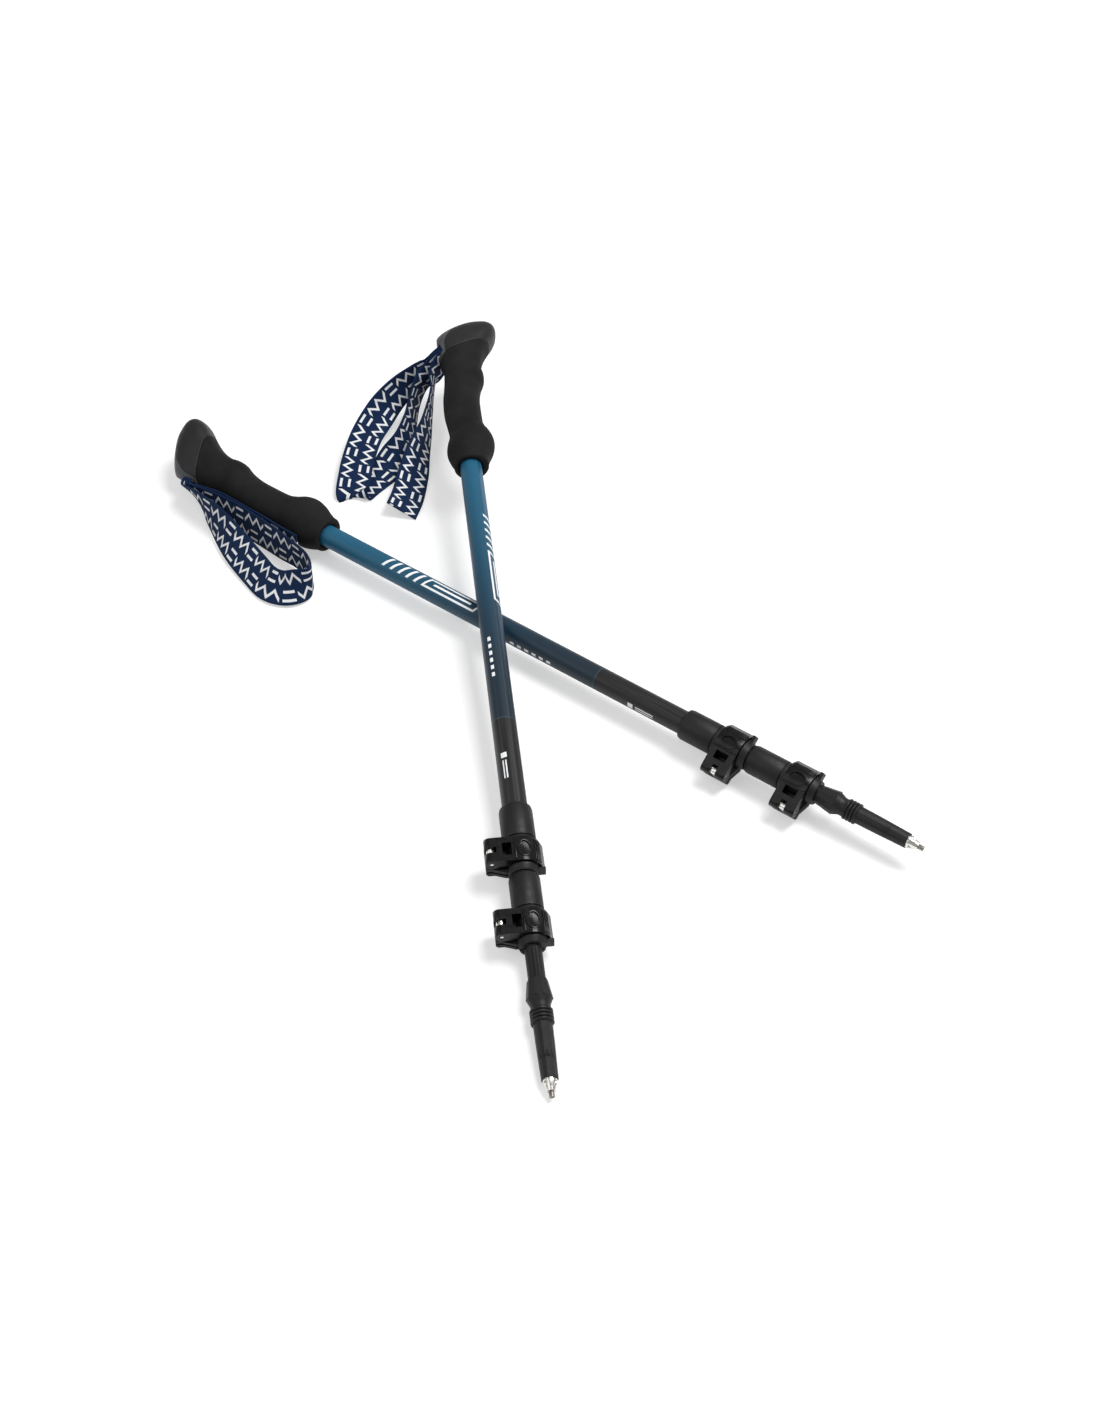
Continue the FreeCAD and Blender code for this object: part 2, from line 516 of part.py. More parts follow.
def lock_screw(lock):
    """The adjusting screw, with an eye around the lever's pivot pin."""
    eye = rod(EYE_R, lock.middle - EYE_WIDTH / 2, lock.middle + EYE_WIDTH / 2, lock.pivot_x, lock.pivot_z)
    shank = post(SCREW_R, lock.nut_bottom, lock.pivot_z - PIVOT_R, lock.pivot_x, lock.middle)
    hole = rod(PIVOT_R + SEAT_GAP, lock.lever_start, lock.lever_end, lock.pivot_x, lock.pivot_z)
    return single(eye.fuse(shank).cut(hole))


def lock_pivot(lock):
    return rod(PIVOT_R, lock.lever_start + PIVOT_SET_BACK, lock.lever_end - PIVOT_SET_BACK,
               lock.pivot_x, lock.pivot_z)


def lock_nut(lock):
    """The fluted thumb nut on the screw, under the lower ear."""
    nut = post(NUT_R, lock.nut_bottom, lock.nut_top, lock.pivot_x, lock.middle)
    for index in range(NUT_FLUTES):
        spot = polar(NUT_R + NUT_FLUTE_STAND, 360 / NUT_FLUTES * index)
        nut = nut.cut(post(NUT_FLUTE_R, lock.nut_bottom, lock.nut_top, lock.pivot_x + spot.x,
                           lock.middle + spot.z))
    bore = post(SCREW_R + SLIDE_GAP, lock.nut_bottom, lock.nut_top, lock.pivot_x, lock.middle)
    return single(nut.cut(bore))


# ---------------------------------------------------------------- shafts
def guide(tube_top, outer_r, inner_r):
    """The plug on a tube's inner end: its head slides in the outer tube, its spigot holds the tube."""
    top = tube_top - FACE_GAP - GUIDE_HEAD
    shoulder, end, bore_r = top + GUIDE_HEAD, top + GUIDE_HEAD + GUIDE_SPIGOT, inner_r - GUIDE_WALL
    return turned([(0, top), (outer_r - GUIDE_CHAMFER, top), (outer_r, top + GUIDE_CHAMFER),
                   (outer_r, shoulder), (inner_r, shoulder), (inner_r, end), (bore_r, end),
                   (bore_r, top + GUIDE_WALL), (0, top + GUIDE_WALL)])


# ---------------------------------------------------------------- ferrule and tip
def faceted(rings, sides):
    """A many-sided bar through (radius, station) rings."""
    wires = []
    for radius, station in rings:
        corners = [polar(radius, 360 * side / sides, station) for side in range(sides)]
        wires.append(Part.makePolygon(corners + corners[:1]))
    return Part.makeLoft(wires, True, True)


def ferrule(start, shaft_end):
    flare_end, neck, end = start + FLARE_LENGTH, start + NECK_AT, start + FERRULE_LENGTH
    bell = faceted([(FERRULE_TOP_R, start), (FLARE_R, flare_end)], FLARE_FACETS)
    shank = faceted([(FERRULE_R, start + RING_END - SHANK_LAP), (TAPER_R, end - TAPER_LENGTH),
                     (FERRULE_TIP_R, end)], FERRULE_FACETS)
    under = FLARE_R * math.cos(math.pi / FLARE_FACETS)
    profile = [(0, flare_end), (under, flare_end), (NECK_R, neck - NECK_LENGTH), (NECK_R, neck)]
    pitch = (RING_END - NECK_AT) / RING_COUNT
    for index in range(RING_COUNT):
        crest = neck + pitch * (index + 0.5)
        profile += [(RING_R, crest - RING_CREST / 2), (RING_R, crest + RING_CREST / 2),
                    (NECK_R, neck + pitch * (index + 1))]
    profile += [(0, start + RING_END)]
    body = turned(profile).fuse([bell, shank])
    body = body.cut(rod(LOWER_OD / 2 + SEAT_GAP, start, shaft_end + SEAT_GAP))
    return single(body.cut(rod(CROWN_SHANK_R + SEAT_GAP, end - CROWN_SHANK, end)))


def tip_crown(start):
    """The metal crown: a shank in the ferrule and four lobes around the carbide tip."""
    end = start + CROWN_LENGTH
    rim = start + CROWN_RIM
    lobes = turned([(0, start), (CROWN_R, start), (CROWN_R, rim), (CROWN_TIP_R, end), (0, end)])
    for side in range(CROWN_LOBES):
        spot = polar(CROWN_R + CROWN_FLUTE_STAND, 360 / CROWN_LOBES * (side + 0.5))
        lobes = lobes.cut(rod(CROWN_FLUTE_R, rim, end, spot.x, spot.z))
    crown = lobes.fuse(rod(CROWN_SHANK_R, start - CROWN_SHANK + SEAT_GAP, rim))
    return single(crown.cut(rod(CARBIDE_R + SEAT_GAP, start + CARBIDE_START, end)))


def carbide_tip(start):
    """The carbide pin, with a hollow ground into its end."""
    end = start + CROWN_LENGTH + CARBIDE_REACH
    tip = rod(CARBIDE_R, start + CARBIDE_START + SEAT_GAP, end)
    return single(tip.cut(Part.makeSphere(HOLLOW_R, FreeCAD.Vector(0, end + HOLLOW_STAND, 0))))


# ---------------------------------------------------------------- strap
def strap_section(centre, across, travel):
    """A cross-section of the webbing: its centre, the way its width runs and the way it travels."""
    across = FreeCAD.Vector(across).normalize()
    normal = across.cross(travel).normalize()
    half, thick = across * (STRAP_WIDTH / 2), normal * (STRAP_THICKNESS / 2)
    corners = [centre - half - thick, centre + half - thick, centre + half + thick, centre - half + thick]
    return Part.makePolygon(corners + corners[:1])


def strand(stations):
    """One run of webbing through stations of (centre, width direction)."""
    wires = []
    last = len(stations) - 1
    for index, (centre, across) in enumerate(stations):
        travel = stations[min(index + 1, last)][0] - stations[max(index - 1, 0)][0]
        wires.append(strap_section(centre, across, travel))
    return Part.makeLoft(wires, True, True)


def slot_stations(place, layer, upright):
    """Two stations of webbing in the strap slot, from the pin to the mouth, in one of its layers."""
    turn = FreeCAD.Rotation(UP, STRAP_SLOT_ANGLE)
    pin = FreeCAD.Vector(STRAP_PIN_X, STRAP_PIN_Y, 0)
    across = place.Rotation.multVec(FreeCAD.Vector(0, 0, upright))
    depths = (STRAP_PIN_R + STRAP_THICKNESS / 2, STRAP_SLOT_RUN)
    return [(place.multVec(pin + turn.multVec(FreeCAD.Vector(depth, layer * STRAP_LAYER, 0))), across)
            for depth in depths]


def ground_stations(pole, place, rows):
    """Stations along the ground: (ahead of the head, towards the strap side, height), width direction."""
    head = place.multVec(ORIGIN)
    frame = FreeCAD.Placement(FreeCAD.Vector(head.x, head.y, 0), FreeCAD.Rotation(UP, pole["heading"] - 90))
    return [(frame.multVec(FreeCAD.Vector(side, ahead, height)),
             frame.Rotation.multVec(FreeCAD.Vector(out, forward, rise)))
            for (ahead, side, height), (forward, out, rise) in rows]


def wrist_strap(pole, place):
    """The webbing: one loop and one free tail, both sewn around the pin inside the head."""
    upright = pole["strap_upright"]
    out, back, free = [slot_stations(place, layer, upright) for layer in pole["layers"]]
    loop = strand(out + ground_stations(pole, place, pole["loop"]) + back[::-1])
    tail = strand(free + ground_stations(pole, place, pole["tail"]))
    bight_r = STRAP_LAYER + STRAP_THICKNESS / 2
    bight = post(bight_r, -STRAP_WIDTH / 2, STRAP_WIDTH / 2, STRAP_PIN_X, STRAP_PIN_Y)
    bight = bight.cut(post(STRAP_PIN_R + SEAT_GAP, -STRAP_WIDTH, STRAP_WIDTH, STRAP_PIN_X, STRAP_PIN_Y))
    bight.Placement = place.multiply(bight.Placement)
    return single(bight.fuse([loop, tail]))


# ---------------------------------------------------------------- one pole
def pole_parts(lower_out):
    """All rigid pieces of one pole in its own frame."""
    form = grip_form()
    upper, lower = locks()
    ferrule_start = lower.end + FERRULE_GAP
    tip_start = ferrule_start + FERRULE_LENGTH
    shaft_end = tip_start - CROWN_SHANK - FERRULE_WEB
    pieces = {
        "grip_head": grip_head(form),
        "rear_cover": rear_cover(form),
        "strap_pin": strap_pin(),
        "grip_foam": grip_foam(form),
        "upper_shaft": tube(UPPER_OD / 2, UPPER_OD / 2 - TUBE_WALL, UPPER_TOP, UPPER_END),
        "middle_guide": guide(MIDDLE_TOP, UPPER_OD / 2 - TUBE_WALL - SLIDE_GAP,
                              MIDDLE_OD / 2 - TUBE_WALL - SLIDE_GAP),
        "middle_shaft": tube(MIDDLE_OD / 2, MIDDLE_OD / 2 - TUBE_WALL, MIDDLE_TOP, lower.lip + LOCK_SEAT)}
    for name, lock in (("upper", upper), ("lower", lower)):
        pieces[name + "_lock_body"] = lock_body(lock)
        pieces[name + "_lock_bush"] = lock_bush(lock)
        pieces[name + "_lock_lever"] = lock_lever(lock)
        pieces[name + "_lock_saddle"] = lock_saddle(lock)
        pieces[name + "_lock_screw"] = lock_screw(lock)
        pieces[name + "_lock_pivot"] = lock_pivot(lock)
        pieces[name + "_lock_nut"] = lock_nut(lock)
    outward = {
        "lower_guide": guide(LOWER_TOP, MIDDLE_OD / 2 - TUBE_WALL - SLIDE_GAP,
                             LOWER_OD / 2 - TUBE_WALL - SLIDE_GAP),
        "lower_shaft": tube(LOWER_OD / 2, LOWER_OD / 2 - TUBE_WALL, LOWER_TOP, shaft_end),
        "ferrule": ferrule(ferrule_start, shaft_end),
        "tip_crown": tip_crown(tip_start),
        "carbide_tip": carbide_tip(tip_start)}
    for name, shape in outward.items():
        shape.translate(FreeCAD.Vector(0, lower_out, 0))
        pieces[name] = shape
    return pieces


# ---------------------------------------------------------------- both poles, lying crossed
def placement(pole):
    """Where a pole's own frame goes: its crossing station over the crossing point, sloping to the tip and
    rolled about its axis."""
    heading = FreeCAD.Rotation(UP, pole["heading"] - 90)
    slope = FreeCAD.Rotation(FreeCAD.Vector(1, 0, 0), -pole["slope"])
    turn = heading.multiply(slope).multiply(FreeCAD.Rotation(ALONG, pole["roll"]))
    crossing = FreeCAD.Vector(CROSS_X, CROSS_Y, pole["height"])
    return FreeCAD.Placement(crossing - turn.multVec(FreeCAD.Vector(0, pole["cross"], 0)), turn)


def depth(corners, roll):
    """How far the lowest of some (x, z) corners lies below the pole axis once the pole is rolled."""
    turn = math.radians(roll)
    return max(x * math.sin(turn) - z * math.cos(turn) for x, z in corners)


def settle():
    """Heights and slopes: the first pole lies on its grip and the nut of its upper lock, the second on the
    first one's shaft and the end of its own ferrule."""
    first, second = POLES
    upper, lower = locks()
    grip_depth, grip_station = max((depth(oval_corners(row, HEAD_SQUARENESS), first["roll"]), row[0])
                                   for row in HEAD_ROWS + FOAM_ROWS)
    lock_depth = max(upper.sleeve_r, depth([(upper.pivot_x + NUT_R, upper.nut_bottom)], first["roll"]))
    rise = (grip_depth - lock_depth) / (upper.middle - grip_station)
    first["slope"] = math.degrees(math.atan(rise))
    first["height"] = grip_depth - (first["cross"] - grip_station) * rise + REST_GAP
    second["height"] = first["height"] + UPPER_OD + POLE_GAP
    toe = lower.end + FERRULE_GAP + FERRULE_LENGTH + second["lower_out"]
    second["slope"] = math.degrees(math.atan((second["height"] - FERRULE_TIP_R) / (toe - second["cross"])))


def build():
    settle()
    solids = {}
    for pole in POLES:
        place = placement(pole)
        for name, shape in pole_parts(pole["lower_out"]).items():
            shape.Placement = place.multiply(shape.Placement)
            solids[pole["name"] + "_" + name] = shape
        solids[pole["name"] + "_wrist_strap"] = wrist_strap(pole, place)
    return solids


if __name__ == "__main__":
    os.makedirs("parts", exist_ok=True)
    for node, solid in build().items():
        solid.exportStep("parts/" + node + ".step")
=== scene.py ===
import json
import math
import bmesh
import bpy
from mathutils import Matrix, Vector


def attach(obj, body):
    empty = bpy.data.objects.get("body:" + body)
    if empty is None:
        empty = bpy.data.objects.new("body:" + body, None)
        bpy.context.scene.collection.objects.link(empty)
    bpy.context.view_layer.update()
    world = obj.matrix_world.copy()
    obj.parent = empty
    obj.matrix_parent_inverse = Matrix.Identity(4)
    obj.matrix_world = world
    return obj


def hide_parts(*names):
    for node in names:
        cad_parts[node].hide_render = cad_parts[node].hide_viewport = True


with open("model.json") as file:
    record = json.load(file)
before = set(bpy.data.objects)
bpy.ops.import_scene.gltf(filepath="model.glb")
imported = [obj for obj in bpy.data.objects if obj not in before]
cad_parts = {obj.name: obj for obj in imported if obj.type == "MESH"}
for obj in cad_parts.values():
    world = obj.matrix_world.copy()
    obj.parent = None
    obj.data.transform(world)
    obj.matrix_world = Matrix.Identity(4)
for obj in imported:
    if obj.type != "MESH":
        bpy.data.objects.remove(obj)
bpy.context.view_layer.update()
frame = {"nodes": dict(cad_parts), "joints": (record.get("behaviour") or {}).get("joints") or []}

# A pair of telescoping trekking poles lying crossed on a pale floor. Metres, but sizes on a pole are in MM.
# Each pole has a frame of its own: +Y from the head of the grip to the tip, +Z up through the lever
# faces, +X the strap side. A station is a distance along +Y.
MM = 0.001

# ---- sizes as in the construction, in millimetres ----
UPPER_OD = 16.0
MIDDLE_TOP = 96.0           # station of the middle shaft's inner end
GRIP_END = 158.0
HEAD_ROWS = (               # station, front reach, rear reach, half thickness
    (-0.9, 26.5, -14.5, 5.0), (1.3, 30.2, -8.5, 9.2), (5.0, 32.4, -1.5, 12.0), (10.5, 32.2, 7.5, 14.0),
    (17.0, 29.8, 15.0, 15.0), (24.0, 25.6, 17.0, 15.2), (31.0, 22.0, 15.6, 14.8), (40.0, 19.0, 13.2, 14.0))
FOAM_ROWS = (
    (50.0, 17.8, 11.4, 13.3), (57.0, 18.7, 11.6, 13.2), (64.0, 18.2, 12.1, 13.2), (72.0, 15.4, 13.0, 13.3),
    (84.0, 13.3, 14.5, 13.4), (100.0, 13.0, 14.8, 13.4), (114.0, 13.5, 13.4, 13.3),
    (121.0, 15.6, 12.8, 13.6), (128.0, 18.6, 13.4, 15.0), (135.0, 19.7, 15.2, 16.0),
    (142.0, 18.4, 16.0, 15.8), (149.0, 15.4, 14.4, 14.0), (154.0, 13.8, 12.6, 12.9),
    (158.0, 13.4, 12.2, 12.5))
GRIP_ROWS = HEAD_ROWS + FOAM_ROWS
HEAD_SQUARENESS = 2.7
FOAM_SQUARENESS = 2.1
HEAD_FRONT = 25.6
HEAD_REAR = 13.2
SEAM_FRONT = 23.5
SEAM_REAR = 40.0
SEAM_GAP = 0.3              # between the head and the foam's end face, at the socket
COVER_OUTER = ((-16.5, -1.5), (-3.0, 4.2), (9.0, 10.8), (14.6, 18.5), (14.4, 27.0), (12.8, 38.5))
COVER_INNER = ((-16.5, -1.5), (-6.5, 6.2), (2.5, 14.0), (7.2, 22.0), (9.0, 27.5))
SOCKET_R = 9.8
SOCKET_END = 67.0           # station where the foam's bore narrows from the head's socket to the shaft
STRAP_WIDTH = 25.0
STRAP_THICKNESS = 1.3
STRAP_LAYER = 2.3
STRAP_SLOT_HEIGHT = 7.4
STRAP_SLOT_SIDE = 0.6
STRAP_PIN_R = 1.6
STRAP_PIN_X = 1.0
STRAP_PIN_Y = 29.5
STRAP_SLOT_BACK = 4.0
STRAP_SLOT_RUN = 9.5
STRAP_SLOT_ANGLE = 12.0

# ---- sizes of the looks alone, in millimetres ----
BEYOND = 60.0               # clear of the grip on every side
CUT_HALF = 40.0             # half width of the temporary solids that cut the grip
BLANK_END = 59.0            # station where the blank of the head ends, past the seam
BLANK_STEP = 0.45
HEAD_CROWN = ((0.82, 0.28), (0.5, 0.5), (0.2, 0.6))     # rings of the head's end: share of its size, rise
HEAD_VOXEL = 0.36
HEAD_SMOOTHING = 5
FOAM_SIDES, FOAM_STEPS = 96, 110
FOAM_CLEARANCE = 0.05
SEAM_EDGE = 1.1             # radius of the foam's edge along the seam
END_EDGE = 1.6              # and around its lower end
EDGE_RUN = 2.0              # from either end of the foam to its plain skin
SLOT_SHARE = 0.8            # of its width that the webbing keeps in the slot, where it is gathered
GATHER_RUN = 24.0           # from the slot to where it is full width again
SECTION_STEPS = 8           # from the middle of the webbing to an edge
EDGE_IN, EDGE_FLAT = 0.7, 0.45      # shares of half the webbing's thickness, for its rounded edges
FLOOR_GAP = 0.2             # that the webbing keeps from the floor
WELD_DISTANCE = 0.002
EASE_ANGLE = 38.0           # degrees, the least that counts as an edge

# ---- marks on the upper shaft: stations are (from, to), halves lie across the mark's middle line ----
PAINT_END = 401.0
PAINT_RIM = 0.4
LARGE_MARK_ANGLE = 150.0    # degrees from the strap side towards the lever faces
SMALL_MARK_ANGLE = 66.0
MARK_HALF = 4.5
MARK_SLANT = 0.5
BARS = (216.0, 248.0)
BAR_PITCH, BAR_SHARE = 7.2, 0.32
OUTLINE = (252.0, 299.0)
OUTLINE_LINE = 1.8          # width of its two ends
OUTLINE_RAIL = 3.0          # from the middle line to the inner edge of its two sides
CORE = (259.0, 292.0)
CORE_HALF = 0.8
DASHES = (331.0, 367.5)
DASH_PITCH, DASH_SHARE, DASH_HALF = 6.2, 0.55, 1.1
BLOCK = (429.0, 433.0)
BLOCK_HALF = 2.0
PAIR = (435.0, 449.0)       # two thin lines
PAIR_EDGES = (0.5, 1.4)     # of each line, from the middle line

# ---- print and weave of the webbing ----
PRINT_ROW = 6.1             # from the middle of the webbing to each printed row
PRINT_CELL = 31.0           # length of one zigzag and one group of bars
PRINT_WAVE = 8.4
PRINT_REACH = 3.1           # of the marks to each side of their row
PRINT_LINE = 1.0
ZIGZAG_SHARE = 0.64         # of a cell
BARS_MIDDLE, BARS_HALF = 0.82, 0.12     # shares of a cell
WEFT_PITCH, WARP_PITCH = 0.9, 1.2

# ---- where the straps lie, in millimetres on the ground: (ahead of the head, towards the strap side,
# ---- height), and the direction of the webbing's width: (ahead, towards the strap side, up) ----
FIRST_LOOP = (
    ((36.5, 15.5, 11), (0, 0.6, 0.8)), ((47, 19.5, 13), (0, 0.35, 0.94)), ((66, 21.5, 14), (0, 0, 1)),
    ((89, 22.5, 14), (0, -0.15, 1)), ((113, 24, 14), (0, -0.15, 1)), ((134, 26, 14), (0, -0.1, 1)),
    ((150, 27.5, 14), (0, 0, 1)), ((163, 30, 14), (0, 0, 1)), ((173, 35, 14), (0, 0, 1)),
    ((178, 42, 14), (0, -0.1, 1)), ((174, 50, 13), (-0.3, -0.3, 0.9)),
    ((165, 56, 10.5), (-0.35, -0.65, 0.68)), ((152, 58, 9.5), (-0.25, -0.75, 0.6)),
    ((134, 53, 9.5), (-0.1, -0.8, 0.6)), ((112, 46, 10.5), (-0.05, -0.75, 0.65)),
    ((91, 39, 13), (0, -0.55, 0.83)), ((75, 33.5, 14), (0, -0.3, 0.95)), ((58, 28, 13.8), (0, 0.05, 1)),
    ((45, 23, 12.8), (0, 0.4, 0.92)), ((34.8, 18, 11), (0, 0.62, 0.78)))
FIRST_TAIL = (
    ((38.4, 14.2, 11), (0, 0.6, 0.8)), ((50, 17, 13), (0, 0.35, 0.94)), ((70, 18.2, 14), (0, 0.05, 1)),
    ((90, 19, 14), (0, 0, 1)), ((112, 19.5, 14), (0, 0, 1)), ((130, 20.5, 14), (0, 0, 1)),
    ((147, 21, 14), (0, 0, 1)))
SECOND_LOOP = (
    ((31, 20, 45), (0, -0.3, -0.95)), ((30.5, 29, 40), (-0.15, -0.45, -0.87)),
    ((34, 42, 33), (-0.1, -0.55, -0.83)), ((42, 54, 26), (0.1, -0.62, -0.78)),
    ((54, 65, 19), (0.33, -0.83, -0.45)), ((71, 75, 14), (0.34, -0.92, -0.15)),
    ((96, 83, 9.5), (0.15, -0.98, -0.1)), ((111, 86, 7.2), (0.1, -0.98, -0.1)),
    ((121, 88, 5.0), (0.1, -0.98, -0.06)), ((126.5, 88.4, 4.1), (0.12, -0.98, 0)),
    ((128.4, 87.2, 2.5), (0.16, -0.98, 0)), ((126, 85.6, 1.1), (0.22, -0.97, 0)),
    ((119, 80, 0.95), (0.36, -0.93, 0)), ((109, 70.5, 1.4), (0.52, -0.85, 0)),
    ((96, 58.5, 4.6), (0.4, -0.87, -0.28)), ((79, 47.5, 10.4), (-0.25, -0.55, -0.8)),
    ((59, 40, 16.5), (-0.45, -0.35, -0.82)), ((44, 35.2, 25), (-0.5, -0.3, -0.81)),
    ((36.5, 28.5, 36), (-0.4, -0.25, -0.88)), ((34, 20, 44), (-0.08, -0.2, -0.97)))
SECOND_TAIL = (
    ((38, 18, 43), (-0.25, -0.03, -0.97)), ((43, 20.6, 35), (-0.38, 0, -0.92)),
    ((54, 24, 24.5), (-0.42, -0.12, -0.9)), ((71, 28.5, 16.8), (-0.36, -0.32, -0.87)),
    ((91, 35, 12.2), (-0.2, -0.62, -0.76)), ((113, 41, 8.4), (-0.05, -0.86, -0.5)),
    ((136, 47, 5.6), (-0.05, -0.93, -0.36)), ((155, 53, 7.0), (-0.1, -0.87, -0.48)))

# ---- camera and light, in metres and degrees ----
SENSOR_HEIGHT = 24.0        # millimetres
LENS = 29.35                # millimetres, for a view of 44.5 degrees from top to bottom
CAMERA_ELEVATION = 46.0
CAMERA_DISTANCE = 1.160
AIM = Vector((0.0279, -0.0332, 0.0))
WHITE = (1.0, 1.0, 1.0, 1.0)
FLOOR_REACH = 30.0
FLOOR_TONE = 0.62           # of the light that falls on it
GLOW_NEAR, GLOW_FAR = 0.46, 0.8     # that the floor adds for the camera, under the poles and far away
GLOW_START, GLOW_END = 0.9, 3.0     # distances between which it grows
WORLD_STRENGTH = 0.36
BACKDROP_STRENGTH = 0.95
LAMPS = (("key", (0.85, 0.2, 1.85), 0.9, 37.0), ("fill", (-1.4, -0.6, 1.5), 1.6, 9.0))   # place, size, watts


class Pole:
    """One pole's name, strap routes and frame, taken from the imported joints.

    upright is the sign of +Z that is up in the slot, layers the order there of the loop's start, the loop's
    end and the tail, and marks_turn the degrees by which its marks are turned about the shaft.
    """

    def __init__(self, name, upright, layers, loop, tail, marks_turn):
        joints = {joint["name"]: joint for joint in frame["joints"]}
        twist = joints[name + "_middle_twist"]
        along = Vector(twist["axis"]).normalized()
        up = Vector(joints[name + "_upper_nut_turn"]["axis"]).normalized()
        side = along.cross(up)
        origin = Vector(twist["pos_m"]) - along * (MIDDLE_TOP * MM)
        self.name = name
        self.upright = upright
        self.layers, self.loop, self.tail = layers, loop, tail
        self.marks_turn = marks_turn
        self.matrix = Matrix.Translation(origin) @ Matrix((side, along, up)).transposed().to_4x4()
        self.body = name + "_pole"
        ahead = Vector((along.x, along.y, 0)).normalized()
        out = ahead.cross(Vector((0, 0, 1)))
        ground = Vector((origin.x, origin.y, 0))
        axes = Matrix((out, ahead, Vector((0, 0, 1)))).transposed()
        self.ground = Matrix.Translation(ground) @ axes.to_4x4()

    def node(self, part):
        return self.name + "_" + part

    def place(self, x, station, z):
        return self.matrix @ (Vector((x, station, z)) * MM)


POLES = (Pole("first", upright=1, layers=(0, -1, 1), loop=FIRST_LOOP, tail=FIRST_TAIL, marks_turn=-34.0),
         Pole("second", upright=-1, layers=(-1, 0, 1), loop=SECOND_LOOP, tail=SECOND_TAIL, marks_turn=0.0))


# ---------------------------------------------------------------- materials
def srgb(red, green, blue):
    """A linear colour from 0-255 screen values."""
    linear = [((c / 255 + 0.055) / 1.055) ** 2.4 if c > 10 else c / 255 / 12.92 for c in (red, green, blue)]
    return (*linear, 1.0)


def shaded(colour, factor):
    """A lighter or darker colour."""
    return tuple(channel * factor for channel in colour[:3]) + (1.0,)


class Finish:
    """A material being built: its Principled shader and short calls to add nodes.

    Its first colour and roughness are plain ones, which hold until a pattern is linked over them.
    """

    def __init__(self, name, colour, roughness, **sockets):
        self.material = bpy.data.materials.new(name)
        self.material.use_nodes = True
        self.tree = self.material.node_tree
        self.shader = self.tree.nodes["Principled BSDF"]
        self.shader.inputs["Base Color"].default_value = colour
        self.shader.inputs["Roughness"].default_value = roughness
        for socket, value in sockets.items():
            self.shader.inputs[socket.replace("_", " ")].default_value = value

    def add(self, kind, *values, **settings):
        """A node with its first inputs set to numbers or linked to sockets. Returns its first output."""
        node = self.tree.nodes.new(kind)
        for key, value in settings.items():
            setattr(node, key, value)
        for socket, value in zip(node.inputs, values):
            self.feed(socket, value)
        return node.outputs[0]

    def feed(self, socket, value):
        """Links a socket to another one, or sets it to a number, vector or colour."""
        if isinstance(value, bpy.types.NodeSocket):
            self.tree.links.new(value, socket)
        else:
            socket.default_value = value

    def math(self, operation, *values):
        return self.add("ShaderNodeMath", *values, operation=operation)

    def product(self, first, *others):
        for value in others:
            first = self.math("MULTIPLY", first, value)
        return first

    def either(self, first, *others):
        """1 where any of some 0-1 values is 1."""
        for value in others:
            first = self.math("MAXIMUM", first, value)
        return first

    def space(self, matrix=None):
        """Object coordinates, in a pole's own frame if its matrix is given."""
        coords = self.tree.nodes.new("ShaderNodeTexCoord").outputs["Object"]
        if matrix is None:
            return coords
        mapping = self.tree.nodes.new("ShaderNodeMapping")
        mapping.vector_type = "TEXTURE"
        mapping.inputs["Location"].default_value = matrix.to_translation()
        mapping.inputs["Rotation"].default_value = matrix.to_euler()
        self.tree.links.new(coords, mapping.inputs["Vector"])
        return mapping.outputs[0]

    def axes(self, vector):
        self.add("ShaderNodeSeparateXYZ", vector)
        return self.tree.nodes[-1].outputs

    def noise(self, vector, scale, detail=2.0):
        node = self.tree.nodes.new("ShaderNodeTexNoise")
        node.inputs["Scale"].default_value = scale
        node.inputs["Detail"].default_value = detail
        self.tree.links.new(vector, node.inputs["Vector"])
        return node.outputs["Fac"]

    def cells(self, vector, scale):
        node = self.tree.nodes.new("ShaderNodeTexVoronoi")
        node.inputs["Scale"].default_value = scale
        self.tree.links.new(vector, node.inputs["Vector"])
        return node.outputs["Distance"]

    def ramp(self, factor, *stops):
        """A colour ramp through (position, colour) stops."""
        node = self.tree.nodes.new("ShaderNodeValToRGB")
        elements = node.color_ramp.elements
        while len(elements) < len(stops):
            elements.new(0.5)
        for element, (position, colour) in zip(elements, stops):
            element.position = position
            element.color = colour
        self.tree.links.new(factor, node.inputs[0])
        return node.outputs[0]

    def remap(self, value, low, high, to_low=0.0, to_high=1.0):
        return self.add("ShaderNodeMapRange", value, low, high, to_low, to_high)

    def mix(self, factor, first, second):
        node = self.tree.nodes.new("ShaderNodeMix")
        node.data_type = "RGBA"
        sockets = node.inputs[0], node.inputs[6], node.inputs[7]     # the factor and the two colours
        for socket, value in zip(sockets, (factor, first, second)):
            self.feed(socket, value)
        return node.outputs[2]

    def colour(self, socket):
        self.tree.links.new(socket, self.shader.inputs["Base Color"])

    def roughness(self, socket):
        self.tree.links.new(socket, self.shader.inputs["Roughness"])

    def bump(self, height, distance, strength=1.0):
        node = self.tree.nodes.new("ShaderNodeBump")
        node.inputs["Strength"].default_value = strength
        node.inputs["Distance"].default_value = distance
        self.tree.links.new(height, node.inputs["Height"])
        self.tree.links.new(node.outputs[0], self.shader.inputs["Normal"])


